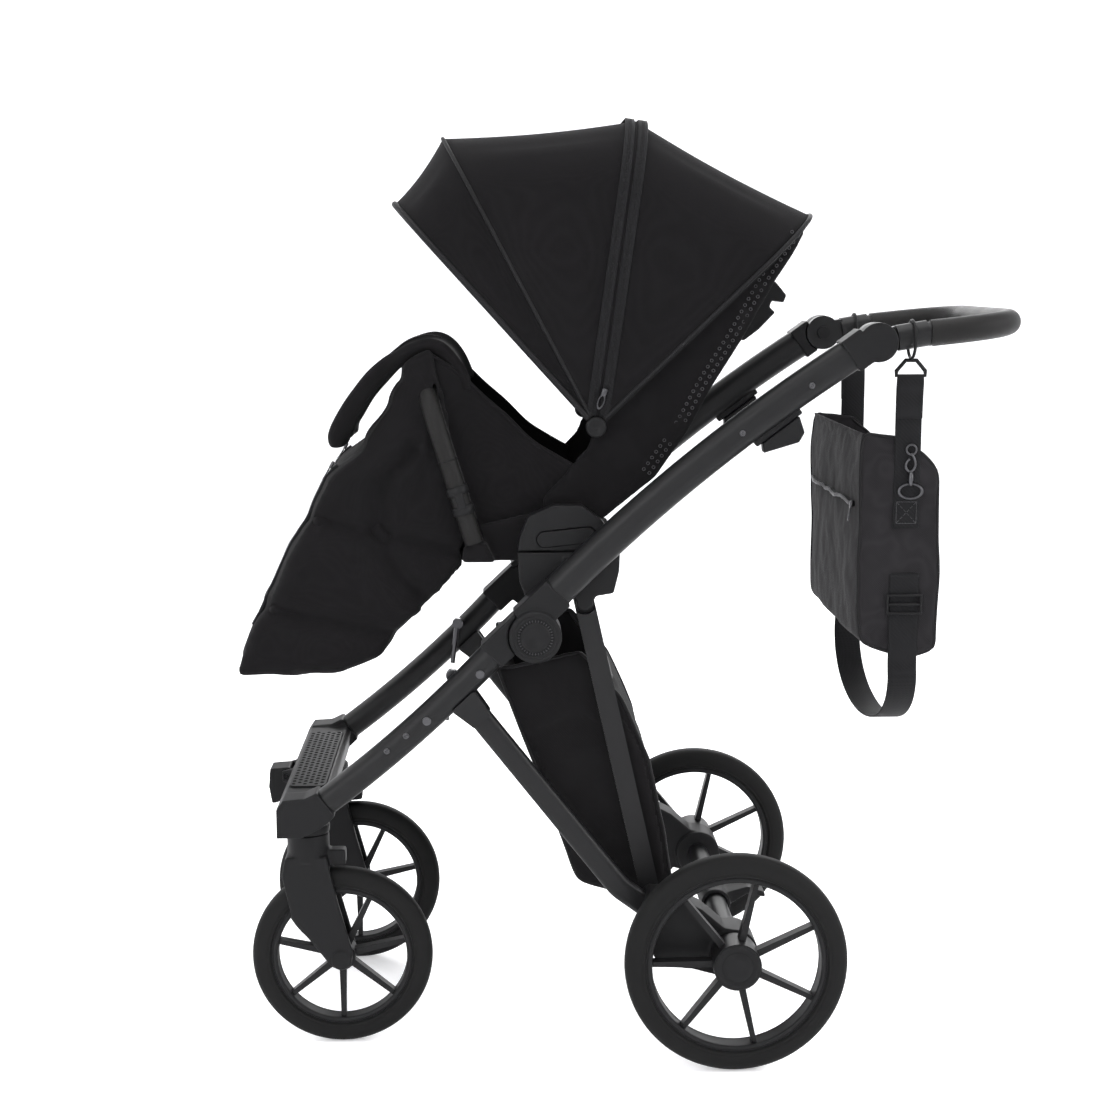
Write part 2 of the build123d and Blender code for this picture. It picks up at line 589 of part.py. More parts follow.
def back_outline():
    """The space inside the rear bow, which the backrest's rounded top follows."""
    face = bow_face(BACK_HALF, -400, REAR_BOW_REACH - 2, bow_plane(REAR_BOW_ANGLE))
    return extrude(face, 300, both=True)


save("backrest_shell", backrest_shell())
cushion = [
    *BACK_FRONT[1:], (172, 1098), (128, 1044), (86, 970), (48, 908), (18, 856), (-16, 808), (-84, 742),
]
save("back_cushion", plate(cushion, -140, 140) & back_outline())

hook = [
    (131.5, 939.8), (170.7, 1009.4), (191, 1016), (207, 997), (203, 987), (187, 990), (184, 981),
    (192, 974), (170, 951), (150, 936),
]
save("recline_handle", plate(hook, -34, 34))


def bow(angle, reach, layer):
    """A flat U-shaped strip with an eye at each end, turned about the canopy pivot."""
    half = BACK_HALF + 1.0 + BOW_THICKNESS + layer * BOW_LAYER
    inner_half = half - BOW_THICKNESS
    plane = bow_plane(angle)
    strip = bow_face(half, 0, reach + BOW_THICKNESS, plane) - bow_face(inner_half, -5, reach, plane)
    strip = extrude(strip, BOW_WIDTH / 2, both=True)
    strip -= disc(CANOPY_PIVOT, EYE_RADIUS, -half - 5, half + 5)
    for x_low in (inner_half, -half):
        strip += disc(CANOPY_PIVOT, EYE_RADIUS, x_low, x_low + BOW_THICKNESS)
    return strip - disc(CANOPY_PIVOT, PIN_RADIUS + RUNNING, -half - 1, half + 1)


EYE_RADIUS = 10.0
save("canopy_rear_bow", bow(REAR_BOW_ANGLE, REAR_BOW_REACH, 0))
save("canopy_middle_bow", bow(MIDDLE_BOW_ANGLE, MIDDLE_BOW_REACH, 1))
save("canopy_front_bow", bow(FRONT_BOW_ANGLE, FRONT_BOW_REACH, 2))


def canopy_panel(first, second):
    """Fabric pulled straight between two bow planes, each given as (angle, reach)."""
    outer = []
    inner = []
    for angle, reach in (first, second):
        plane = bow_plane(angle)
        outer.append(bow_face(CANOPY_HALF, PANEL_FOOT, reach + CANOPY_WALL, plane))
        inner.append(bow_face(CANOPY_HALF - CANOPY_WALL, PANEL_FOOT, reach, plane))
    return loft(outer, ruled=True) - loft(inner, ruled=True)


front_reach = FRONT_BOW_REACH + BOW_THICKNESS + FABRIC_ROOM
middle_reach = MIDDLE_BOW_REACH + BOW_THICKNESS + FABRIC_ROOM
rear_reach = REAR_BOW_REACH + BOW_THICKNESS + FABRIC_ROOM
front_panel = canopy_panel((MIDDLE_BOW_ANGLE + 0.6, middle_reach), (FRONT_BOW_ANGLE, front_reach))
front_panel += canopy_panel((FRONT_BOW_ANGLE, front_reach), (VISOR_ANGLE, VISOR_REACH))
save("canopy_front_panel", front_panel)
save("canopy_rear_panel", canopy_panel((REAR_BOW_ANGLE, rear_reach), (MIDDLE_BOW_ANGLE - 0.6, middle_reach)))


# --- basket ---
def basket():
    outer = [(-187, 512), (-78, 534), (-22, 470), (15, 387), (37, 284), (50, 194), (42, 184), (-80, 221)]
    inner = [(-190, 530), (-70, 545), (-27, 469), (11, 386), (33, 284), (45, 195), (40, 188.5), (-77, 225.5),
             (-182, 511)]
    return shell_of(outer, inner, BASKET_HALF, BASKET_WALL)


save("basket", basket())


def hanger():
    """The hanging rod of the basket's front edge, in its sleeve, on the inner face of the lower tube."""
    top = (-246, 508)
    foot = (-254, 448)
    x = TUBE_X - TUBE_WIDTH / 2
    eye = disc(top, 8, x - 9, x + 2) - frame_solid(LOWER_FRONT, LOWER_MIDDLE, LOWER_TOP, LOWER_DEPTH)
    plane = Plane(origin=(x - 5, *foot), z_dir=(0, top[0] - foot[0], top[1] - foot[1]))
    length = math.dist(top, foot)
    rod = extrude(plane * Circle(3.5), length)
    sleeve = extrude(plane.offset(length * 0.45) * Circle(4.5), length * 0.45)
    return eye + rod + sleeve


save("basket_hangers", pair(hanger()))


# --- changing bag ---
hang_z = HANDLE_PIVOT[1] + (BAG_HANG_Y - HANDLE_PIVOT[0]) * math.tan(math.radians(HANDLE_SLOPE))
BAG_PIVOT = (BAG_HANG_Y, hang_z)


def bag():
    outer = [(283, 826), (346, 820), (384, 775), (390, 657), (388, 540), (350, 529), (300, 540), (284, 556)]
    inner = [(287, 840), (344, 840), (380, 774), (386, 657), (384, 543), (350, 533), (302, 544), (288, 558)]
    body = plate(outer, -BAG_HALF, BAG_HALF)
    return body - plate(inner, -BAG_HALF + BAG_WALL, BAG_HALF - BAG_WALL)


def hanging_strap():
    """A flat strap on the bag's side seam, with a clip and the wire ring that hangs on the handle."""
    y, z = BAG_PIVOT
    clip_top = z - GRIP_RADIUS - 10
    webbing = plate([(y - 17, 700), (y + 17, 700), (y + 17, z - 60), (y - 17, z - 60)],
                    BAG_HALF, BAG_HALF + STRAP_THICKNESS)
    clip = plate([(y - 17, z - 62), (y + 17, z - 62), (y + 17, z - 50), (y + 6, clip_top), (y - 6, clip_top),
                  (y - 17, z - 50)], BAG_HALF - 2, HANDLE_X + 1)
    ring_top = z + (GRIP_RADIUS + RING_WIRE) / math.cos(math.radians(HANDLE_SLOPE)) + 0.3
    ring = Pos(HANDLE_X, y, ring_top - RING_RADIUS) * Rot(90, 0, 0) * Torus(RING_RADIUS, RING_WIRE)
    return webbing + clip + ring


def shoulder_strap():
    """The long strap, which hangs in a loop under the bag from side to side."""
    inner_half = BAG_HALF + 0.3
    outer_half = inner_half + STRAP_THICKNESS
    plane = Plane.XZ.offset(STRAP_WIDTH / 2 - BAG_PIVOT[0])
    loops = []
    for half, lowest in ((outer_half, STRAP_LOWEST), (inner_half, STRAP_LOWEST + STRAP_THICKNESS)):
        sides = Polyline((-half, STRAP_TURN), (-half, STRAP_TOP), (half, STRAP_TOP), (half, STRAP_TURN))
        face = make_face(sides + ThreePointArc((half, STRAP_TURN), (0, lowest), (-half, STRAP_TURN)))
        loops.append(extrude(plane * face, -STRAP_WIDTH))
    return loops[0] - loops[1]


RING_WIRE = 2.0
RING_RADIUS = 24.0
STRAP_WIDTH = 38.0
STRAP_LOWEST = 412.0
STRAP_TURN = 522.0
STRAP_TOP = 600.0
save("bag", bag())
straps = Compound([*pair(hanging_strap()).solids(), *shoulder_strap().solids()])
save("bag_straps", straps)


# --- screws of the frame ---
def screw(centre, tube):
    head = disc(centre, SCREW_RADIUS, TUBE_X + TUBE_WIDTH / 2 - 3, TUBE_X + TUBE_WIDTH / 2 + 1.5)
    return head - tube


SCREW_RADIUS = 5.5
lower_space = frame_solid(LOWER_FRONT, LOWER_MIDDLE, LOWER_TOP, LOWER_DEPTH)
screws = []
for along in (0.0, 92.0):
    centre = side(LOWER_MIDDLE, along, 0, 41.5)
    left = screw(centre, lower_space)
    screws += [*left.solids(), *mirror(left, about=Plane.YZ).solids()]
save("frame_fasteners", Compound(screws))
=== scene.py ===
import bpy
import bmesh
import json
import math
from mathutils import Matrix, Vector, noise
from mathutils.bvhtree import BVHTree


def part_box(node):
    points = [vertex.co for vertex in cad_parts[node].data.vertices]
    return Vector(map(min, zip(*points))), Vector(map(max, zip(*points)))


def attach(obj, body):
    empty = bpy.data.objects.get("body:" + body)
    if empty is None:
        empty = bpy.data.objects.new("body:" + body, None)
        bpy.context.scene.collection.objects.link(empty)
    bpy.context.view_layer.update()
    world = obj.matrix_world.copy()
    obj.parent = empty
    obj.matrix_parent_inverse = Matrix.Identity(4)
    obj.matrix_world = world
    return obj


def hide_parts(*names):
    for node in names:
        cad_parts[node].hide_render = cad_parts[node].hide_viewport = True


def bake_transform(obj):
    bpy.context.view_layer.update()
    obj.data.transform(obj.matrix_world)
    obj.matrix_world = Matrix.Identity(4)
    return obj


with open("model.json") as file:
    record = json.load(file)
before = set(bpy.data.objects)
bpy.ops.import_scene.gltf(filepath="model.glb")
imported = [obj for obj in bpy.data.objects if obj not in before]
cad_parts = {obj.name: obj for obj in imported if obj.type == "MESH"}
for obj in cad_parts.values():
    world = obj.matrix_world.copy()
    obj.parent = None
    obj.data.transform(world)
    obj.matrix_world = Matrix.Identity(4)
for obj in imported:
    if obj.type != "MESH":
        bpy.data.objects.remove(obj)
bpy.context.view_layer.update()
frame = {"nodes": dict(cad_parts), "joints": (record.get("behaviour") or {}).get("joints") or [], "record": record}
nodes = frame["nodes"]
joints = {j["name"]: j for j in frame["joints"]}
sides = {"left": 1, "right": -1}


def pivotOf(name):
    return Vector(joints[name]["pos_m"])


# camera, light and studio
studio = {"camera": (2.5832, -0.17285, 1.0262), "look": (-0.98794, 0.03358, -0.15113), "lens": 60.27,
          "flat": 4.2, "bend": 2.6, "wallTop": 6.0, "paper": (0.95, 0.95, 0.96), "glow": 0.30,
          "sky": (0.97, 0.97, 0.985), "skyStrength": 0.5}


def buildStudio():
    scene = bpy.context.scene
    camera = bpy.data.objects.new("camera", bpy.data.cameras.new("camera"))
    scene.collection.objects.link(camera)
    camera.location = studio["camera"]
    camera.rotation_mode = "QUATERNION"
    camera.rotation_quaternion = Vector(studio["look"]).to_track_quat("-Z", "Y")
    camera.data.lens = studio["lens"]
    camera.data.sensor_width = 36
    scene.camera = camera
    # soft boxes: a large one overhead, one behind the camera and one from each end
    lights = [("overhead", (0.2, 0.0, 3.4), (0, 0, 0.4), 3.0, 95),
              ("front", (3.2, -1.8, 2.1), (0, 0, 0.6), 2.2, 50),
              ("handleEnd", (1.2, 3.0, 1.9), (0, 0, 0.7), 2.0, 50),
              ("toeEnd", (-1.0, -3.2, 1.8), (0, 0, 0.7), 2.0, 45),
              ("farSide", (-3.2, 0.6, 2.0), (0, 0, 0.7), 2.4, 55)]
    for name, place, target, size, power in lights:
        data = bpy.data.lights.new(name, "AREA")
        data.size = size
        data.energy = power
        lamp = bpy.data.objects.new(name, data)
        lamp.location = place
        lamp.rotation_euler = (Vector(target) - Vector(place)).to_track_quat("-Z", "Y").to_euler()
        scene.collection.objects.link(lamp)
    world = bpy.data.worlds.new("studio")
    world.use_nodes = True
    background = world.node_tree.nodes["Background"]
    background.inputs["Color"].default_value = (*studio["sky"], 1)
    background.inputs["Strength"].default_value = studio["skyStrength"]
    scene.world = world
    scene.view_settings.view_transform = "Standard"
    buildBackdrop()
    print("studio ready")


def buildBackdrop():
    # a round paper sweep: flat under the object, curving up into a wall all round
    flat, bend, turns = studio["flat"], studio["bend"], 96
    profile = [(0.6 * flat, 0.0), (flat, 0.0)]
    for k in range(1, 17):
        a = math.pi / 2 * k / 16
        profile.append((flat + bend * math.sin(a), bend - bend * math.cos(a)))
    profile.append((flat + bend, studio["wallTop"]))
    points = [(0.0, 0.0, 0.0)]
    faces = []
    rows = len(profile)
    for k in range(turns):
        a = 2 * math.pi * k / turns
        points += [(r * math.cos(a), r * math.sin(a), z) for r, z in profile]
    for k in range(turns):
        here, after = 1 + k * rows, 1 + (k + 1) % turns * rows
        faces.append((0, here, after))
        faces += [(here + i, here + i + 1, after + i + 1, after + i) for i in range(rows - 1)]
    sweep = meshPiece("floor", points, faces)
    paper = bpy.data.materials.new("floorPaper")
    paper.use_nodes = True
    shader = paper.node_tree.nodes["Principled BSDF"]
    shader.inputs["Base Color"].default_value = (*studio["paper"], 1)
    shader.inputs["Roughness"].default_value = 0.32
    shader.inputs["Emission Color"].default_value = (*studio["paper"], 1)
    shader.inputs["Emission Strength"].default_value = studio["glow"]
    sweep.data.materials.append(paper)


# materials
# every finish: base colour, roughness, grain size and depth, and what the grain is
finishes = {
    "framePaint": {"color": (0.0050, 0.0050, 0.0054), "tint": (0.0085, 0.0085, 0.0090),
                   "rough": (0.36, 0.48), "grain": 2600,
                   "depth": 0.00002, "kind": "orangePeel", "gloss": 0.20},
    "blackPlastic": {"color": (0.0046, 0.0046, 0.0050), "tint": (0.0085, 0.0085, 0.0090),
                     "rough": (0.42, 0.58),
                     "grain": 1500, "depth": 0.00006, "kind": "orangePeel", "gloss": 0.14},
    "tyreFoam": {"color": (0.0038, 0.0038, 0.0038), "tint": (0.0066, 0.0066, 0.0066), "rough": (0.58, 0.74),
                 "grain": 900,
                 "depth": 0.00008, "kind": "orangePeel", "gloss": 0.14},
    "rimPlastic": {"color": (0.0056, 0.0056, 0.0060), "tint": (0.0095, 0.0095, 0.0100), "rough": (0.36, 0.50),
                   "grain": 1800, "depth": 0.00003, "kind": "orangePeel", "gloss": 0.15},
    "leatherette": {"color": (0.0048, 0.0046, 0.0045), "tint": (0.0090, 0.0086, 0.0084),
                    "rough": (0.40, 0.56),
                    "grain": 620, "depth": 0.00022, "kind": "hide", "gloss": 0.16},
    "seatFabric": {"color": (0.0036, 0.0034, 0.0037), "tint": (0.0074, 0.0070, 0.0076), "rough": (0.86, 0.96),
                   "grain": 5200, "depth": 0.00016, "kind": "weave", "sheen": 0.03, "gloss": 0.07},
    "liningFabric": {"color": (0.0042, 0.0040, 0.0043), "tint": (0.0088, 0.0084, 0.0090),
                     "rough": (0.8, 0.95),
                     "grain": 3600, "depth": 0.0002, "kind": "weave", "sheen": 0.03, "gloss": 0.08},
    "bagFabric": {"color": (0.0066, 0.0063, 0.0069), "tint": (0.0190, 0.0180, 0.0195), "rough": (0.84, 0.95),
                  "grain": 4300, "depth": 0.0002, "kind": "weave", "sheen": 0.05, "gloss": 0.08},
    "webbing": {"color": (0.0050, 0.0050, 0.0054), "tint": (0.0120, 0.0120, 0.0130), "rough": (0.6, 0.8),
                "grain": 2400, "depth": 0.00025, "kind": "weave", "sheen": 0.02, "gloss": 0.08},
    "piping": {"color": (0.0050, 0.0048, 0.0052), "tint": (0.0110, 0.0106, 0.0114), "rough": (0.45, 0.62),
               "grain": 1400, "depth": 0.0001, "kind": "hide", "gloss": 0.12},
    "steel": {"color": (0.42, 0.42, 0.43), "tint": (0.60, 0.60, 0.61), "rough": (0.18, 0.32), "grain": 900,
              "depth": 0.00001, "kind": "orangePeel", "metal": 1.0},
    "gunmetal": {"color": (0.050, 0.050, 0.053), "tint": (0.10, 0.10, 0.105), "rough": (0.24, 0.38),
                 "grain": 900,
                 "depth": 0.00001, "kind": "orangePeel", "metal": 1.0},
    "eyeletRing": {"color": (0.022, 0.022, 0.024), "tint": (0.045, 0.045, 0.047), "rough": (0.3, 0.45),
                   "grain": 900,
                   "depth": 0.00001, "kind": "orangePeel", "metal": 0.5},
    # painted shade: a near-black finish for the flat discs that stand in for the step pad's holes
    "paintedHoleShade": {"color": (0.0015, 0.0015, 0.0015), "tint": (0.003, 0.003, 0.003), "rough": (0.8, 0.95),
             "grain": 900,
             "depth": 0.00002, "kind": "orangePeel", "gloss": 0.1},
}
materials = {}


def heightNode(tree, kind, grain, position):
    # the relief that the bump and the colour follow
    make = tree.nodes.new
    link = tree.links.new
    if kind == "hide":
        cells = make("ShaderNodeTexVoronoi")
        cells.feature = "DISTANCE_TO_EDGE"
        cells.inputs["Scale"].default_value = grain
        link(position, cells.inputs["Vector"])
        ramp = make("ShaderNodeMapRange")
        ramp.inputs["From Max"].default_value = 0.18
        link(cells.outputs["Distance"], ramp.inputs["Value"])
        return ramp.outputs["Result"]
    if kind == "weave":
        # threads one way and the other, the higher one on top
        waves = []
        for direction in ("X", "DIAGONAL"):
            wave = make("ShaderNodeTexWave")
            wave.wave_type = "BANDS"
            wave.bands_direction = direction
            wave.inputs["Scale"].default_value = grain / 20
            wave.inputs["Distortion"].default_value = 0.6
            wave.inputs["Detail"].default_value = 1.0
            link(position, wave.inputs["Vector"])
            waves.append(wave.outputs["Fac"])
        top = make("ShaderNodeMath")
        top.operation = "MAXIMUM"
        link(waves[0], top.inputs[0])
        link(waves[1], top.inputs[1])
        return top.outputs["Value"]
    fine = make("ShaderNodeTexNoise")
    fine.inputs["Scale"].default_value = grain
    fine.inputs["Detail"].default_value = 2
    link(position, fine.inputs["Vector"])
    return fine.outputs["Fac"]


def makeMaterial(name):
    finish = finishes[name]
    material = bpy.data.materials.new(name)
    material.use_nodes = True
    tree = material.node_tree
    make = tree.nodes.new
    link = tree.links.new
    shader = tree.nodes["Principled BSDF"]
    place = make("ShaderNodeTexCoord")
    position = place.outputs["Object"]
    height = heightNode(tree, finish["kind"], finish["grain"], position)
    # broad cloudy wear over the fine grain
    cloud = make("ShaderNodeTexNoise")
    cloud.inputs["Scale"].default_value = 14
    cloud.inputs["Detail"].default_value = 4
    link(position, cloud.inputs["Vector"])
    share = make("ShaderNodeMath")
    share.operation = "MULTIPLY_ADD"
    share.inputs[1].default_value = 0.45
    link(height, share.inputs[0])
    soft = make("ShaderNodeMath")
    soft.operation = "MULTIPLY"
    soft.inputs[1].default_value = 0.55
    link(cloud.outputs["Fac"], soft.inputs[0])
    link(soft.outputs["Value"], share.inputs[2])
    color = make("ShaderNodeMix")
    color.data_type = "RGBA"
    color.inputs[6].default_value = (*finish["color"], 1)
    color.inputs[7].default_value = (*finish["tint"], 1)
    link(share.outputs["Value"], color.inputs[0])
    link(color.outputs[2], shader.inputs["Base Color"])
    rough = make("ShaderNodeMapRange")
    rough.inputs["To Min"].default_value = finish["rough"][0]
    rough.inputs["To Max"].default_value = finish["rough"][1]
    link(cloud.outputs["Fac"], rough.inputs["Value"])
    link(rough.outputs["Result"], shader.inputs["Roughness"])
    bump = make("ShaderNodeBump")
    bump.inputs["Strength"].default_value = 0.5
    bump.inputs["Distance"].default_value = finish["depth"]
    link(height, bump.inputs["Height"])
    link(bump.outputs["Normal"], shader.inputs["Normal"])
    shader.inputs["Metallic"].default_value = finish.get("metal", 0.0)
    shader.inputs["Specular IOR Level"].default_value = finish.get("gloss", 0.5)
    shader.inputs["Coat Weight"].default_value = finish.get("coat", 0.0)
    shader.inputs["Coat Roughness"].default_value = 0.3
    shader.inputs["Sheen Weight"].default_value = finish.get("sheen", 0.0)
    shader.inputs["Sheen Roughness"].default_value = 0.5
    materials[name] = material


# mesh helpers
def meshPiece(name, points, faces, finish=None):
    mesh = bpy.data.meshes.new(name)
    mesh.from_pydata([tuple(p) for p in points], [], faces)
    mesh.polygons.foreach_set("use_smooth", [True] * len(mesh.polygons))
    mesh.update()
    piece = bpy.data.objects.new(name, mesh)
    bpy.context.scene.collection.objects.link(piece)
    if finish:
        piece.data.materials.append(materials[finish])
    return piece


def outward(piece, merge=0.00001):
    # merges doubles and points every face outwards
    shape = bmesh.new()
    shape.from_mesh(piece.data)
    bmesh.ops.remove_doubles(shape, verts=shape.verts, dist=merge)
    bmesh.ops.recalc_face_normals(shape, faces=shape.faces)
    shape.to_mesh(piece.data)
    shape.free()
    return piece


def settle(piece):
    # turns the modifiers' result into the piece's own plain mesh
    bpy.context.view_layer.update()
    evaluated = piece.evaluated_get(bpy.context.evaluated_depsgraph_get())
    plain = bpy.data.meshes.new_from_object(evaluated)
    piece.modifiers.clear()
    piece.data = plain
    plain.polygons.foreach_set("use_smooth", [True] * len(plain.polygons))
    return piece


def modify(piece, kind, **values):
    modifier = piece.modifiers.new(kind.lower(), kind)
    for key, value in values.items():
        setattr(modifier, key, value)
    return modifier


def subdivided(piece, levels=1):
    modify(piece, "SUBSURF", levels=levels, render_levels=levels)
    return settle(piece)


def thickened(piece, thickness, offset=-1):
    modify(piece, "SOLIDIFY", thickness=thickness, offset=offset, use_even_offset=False)
    return settle(piece)


def joined(name, pieces):
    # one piece from several, with their materials kept
    shape = bmesh.new()
    slotted = []
    for piece in pieces:
        own = bmesh.new()
        own.from_mesh(piece.data)
        shift = []
        for material in piece.data.materials:
            if material not in slotted:
                slotted.append(material)
            shift.append(slotted.index(material))
        for face in own.faces:
            face.material_index = shift[face.material_index] if shift else 0
        held = bpy.data.meshes.new("held")
        own.to_mesh(held)
        own.free()
        shape.from_mesh(held)
        bpy.data.meshes.remove(held)
        bpy.data.objects.remove(piece)
    mesh = bpy.data.meshes.new(name)
    shape.to_mesh(mesh)
    shape.free()
    for material in slotted:
        mesh.materials.append(material)
    whole = bpy.data.objects.new(name, mesh)
    bpy.context.scene.collection.objects.link(whole)
    return whole


def curvePiece(name, points, radius, finish, closed=False, smooth=True, sides=8):
    # a round cord, piping or wire along points
    data = bpy.data.curves.new(name, "CURVE")
    data.dimensions = "3D"
    line = data.splines.new("NURBS" if smooth else "POLY")
    line.points.add(len(points) - 1)
    for held, point in zip(line.points, points):
        held.co = (*point, 1)
    line.use_cyclic_u = closed
    if smooth:
        line.order_u = 3
        line.use_endpoint_u = not closed
        line.resolution_u = 4
    data.bevel_depth = radius
    data.bevel_resolution = max(1, sides // 4)
    data.use_fill_caps = True
    held = bpy.data.objects.new(name + "Line", data)
    bpy.context.scene.collection.objects.link(held)
    bpy.context.view_layer.update()
    mesh = bpy.data.meshes.new_from_object(held.evaluated_get(bpy.context.evaluated_depsgraph_get()))
    bpy.data.objects.remove(held)
    mesh.name = name
    piece = bpy.data.objects.new(name, mesh)
    bpy.context.scene.collection.objects.link(piece)
    mesh.materials.clear()
    mesh.materials.append(materials[finish])
    mesh.polygons.foreach_set("use_smooth", [True] * len(mesh.polygons))
    return outward(piece)


def lathe(name, centre, profile, finish, sign=1, turns=72):
    # a profile of (x, radius) turned about an X axis through centre
    points = []
    faces = []
    count = len(profile)
    for k in range(turns):
        a = 2 * math.pi * k / turns
        for x, radius in profile:
            points.append((centre[0] + sign * x, centre[1] + radius * math.cos(a),
                           centre[2] + radius * math.sin(a)))
    for k in range(turns):
        for i in range(count - 1):
            a = k * count + i
            b = (k + 1) % turns * count + i
            faces.append((a, a + 1, b + 1, b))
    return outward(meshPiece(name, points, faces, finish))


def smoothLine(points, steps=6, closed=False):
    # a Catmull-Rom line through the points
    held = [Vector(p) for p in points]
    count = len(held)
    result = []
    for i in range(count if closed else count - 1):
        if closed:
            four = [held[(i + k) % count] for k in (-1, 0, 1, 2)]
        else:
            four = [held[min(max(i + k, 0), count - 1)] for k in (-1, 0, 1, 2)]
        for step in range(steps):
            t = step / steps
            a, b, c, d = four
            result.append(0.5 * ((2 * b) + (c - a) * t + (2 * a - 5 * b + 4 * c - d) * t * t
                                 + (3 * b - a - 3 * c + d) * t * t * t))
    if not closed:
        result.append(held[-1].copy())
    return result


def laidOn(piece, line, lift=0.0):
    # the nearest places on a piece's surface, raised by lift
    mesh = piece.data
    tree = BVHTree.FromPolygons([v.co for v in mesh.vertices], [tuple(f.vertices) for f in mesh.polygons])
    result = []
    for place in line:
        near, normal = tree.find_nearest(Vector(place))[:2]
        result.append(near + normal * lift)
    return result


def eased(table, value):
    # a smooth reading between the (at, amount) pairs of a short table
    if value <= table[0][0]:
        return table[0][1]
    for (a, low), (b, high) in zip(table, table[1:]):
        if value <= b:
            t = (value - a) / (b - a)
            return low + (high - low) * t * t * (3 - 2 * t)
    return table[-1][1]


# repeats by geometry nodes
def repeatTree(name, finish):
    # instances one shape on every point of a mesh, turned by the point's own direction attribute
    tree = bpy.data.node_groups.new(name, "GeometryNodeTree")
    face = tree.interface
    face.new_socket("Geometry", in_out="INPUT", socket_type="NodeSocketGeometry")
    shape = face.new_socket("Shape", in_out="INPUT", socket_type="NodeSocketObject")
    size = face.new_socket("Size", in_out="INPUT", socket_type="NodeSocketFloat")
    size.default_value = 1.0
    face.new_socket("Geometry", in_out="OUTPUT", socket_type="NodeSocketGeometry")
    make = tree.nodes.new
    link = tree.links.new
    source = make("NodeGroupInput")
    target = make("NodeGroupOutput")
    info = make("GeometryNodeObjectInfo")
    info.inputs["As Instance"].default_value = True
    along = make("GeometryNodeInputNamedAttribute")
    along.data_type = "FLOAT_VECTOR"
    along.inputs["Name"].default_value = "along"
    up = make("GeometryNodeInputNamedAttribute")
    up.data_type = "FLOAT_VECTOR"
    up.inputs["Name"].default_value = "up"
    turn = make("FunctionNodeAxesToRotation")
    turn.primary_axis = "Z"
    turn.secondary_axis = "X"
    place = make("GeometryNodeInstanceOnPoints")
    real = make("GeometryNodeRealizeInstances")
    dress = make("GeometryNodeSetMaterial")
    dress.inputs["Material"].default_value = materials[finish]
    link(source.outputs["Shape"], info.inputs["Object"])
    link(up.outputs["Attribute"], turn.inputs["Primary Axis"])
    link(along.outputs["Attribute"], turn.inputs["Secondary Axis"])
    link(source.outputs["Geometry"], place.inputs["Points"])
    link(info.outputs["Geometry"], place.inputs["Instance"])
    link(turn.outputs["Rotation"], place.inputs["Rotation"])
    link(source.outputs["Size"], place.inputs["Scale"])
    link(place.outputs["Instances"], real.inputs["Geometry"])
    link(real.outputs["Geometry"], dress.inputs["Geometry"])
    link(dress.outputs["Geometry"], target.inputs["Geometry"])
    return tree, shape.identifier, size.identifier


def repeated(name, shape, spots, finish, size=1.0):
    # spots are (place, along, up); the shape's X lies along, its Z up
    piece = meshPiece(name, [s[0] for s in spots], [])
    for key, index in (("along", 1), ("up", 2)):
        held = piece.data.attributes.new(key, "FLOAT_VECTOR", "POINT")
        held.data.foreach_set("vector", [c for s in spots for c in s[index]])
    tree, shapeId, sizeId = repeatTree(name + "Tree", finish)
    modifier = piece.modifiers.new("repeat", "NODES")
    modifier.node_group = tree
    modifier[shapeId] = shape
    modifier[sizeId] = size
    settle(piece)
    bpy.data.objects.remove(shape)
    return piece


def spotsAlong(points, spacing, upAt):
    # evenly spaced spots on a line; upAt gives the direction away from the surface at a place
    spots = []
    left = 0.0
    for a, b in zip(points, points[1:]):
        a, b = Vector(a), Vector(b)
        length = (b - a).length
        if length < 1e-9:
            continue
        way = (b - a) / length
        while left < length:
            here = a + way * left
            spots.append((here, way, Vector(upAt(here)).normalized()))
            left += spacing
        left -= length
    return spots


def smallBox(name, x, y, z):
    corners = [(sx * x / 2, sy * y / 2, sz * z / 2) for sx in (-1, 1) for sy in (-1, 1) for sz in (-1, 1)]
    faces = [(0, 1, 3, 2), (4, 6, 7, 5), (0, 4, 5, 1), (2, 3, 7, 6), (0, 2, 6, 4), (1, 5, 7, 3)]
    return meshPiece(name, corners, faces)


for finishName in finishes:
    makeMaterial(finishName)
buildStudio()

# carried-over CAD nodes
nodeFinish = {"frame_paint": "framePaint", "black_plastic": "blackPlastic", "tyre_foam": "tyreFoam",
              "rim_plastic": "rimPlastic", "leatherette": "leatherette", "seat_fabric": "seatFabric",
              "bag_fabric": "bagFabric", "webbing": "webbing", "steel": "gunmetal"}
for part in frame["record"]["subparts"]:
    held = nodes[part["node"]]
    held.data.materials.clear()
    held.data.materials.append(materials[nodeFinish[part["material_slot"]]])
print("frame nodes painted")


# padded and sewn pieces from their CAD solids
def softFrom(name, sources, finish, voxel, relax, shrink=0.0, shape=None):
    # a closed soft body: the solid's own mesh remeshed, rounded, then moved by shape(place, normal)
    whole = bmesh.new()
    for source in sources:
        whole.from_mesh(nodes[source].data)
    bmesh.ops.remove_doubles(whole, verts=whole.verts, dist=0.00002)
    mesh = bpy.data.meshes.new(name)
    whole.to_mesh(mesh)
    whole.free()
    piece = bpy.data.objects.new(name, mesh)
    bpy.context.scene.collection.objects.link(piece)
    modify(piece, "REMESH", mode="VOXEL", voxel_size=voxel, use_smooth_shade=True)
    modify(piece, "SMOOTH", factor=0.5, iterations=relax)
    settle(piece)
    moveBy(piece, lambda p, n: -shrink * n + (shape(p, n) if shape else Vector()))
    piece.data.materials.clear()
    piece.data.materials.append(materials[finish])
    return piece


def moveBy(piece, change):
    mesh = piece.data
    normals = [v.normal.copy() for v in mesh.vertices]
    for vertex, normal in zip(mesh.vertices, normals):
        vertex.co += change(vertex.co.copy(), normal)
    mesh.update()


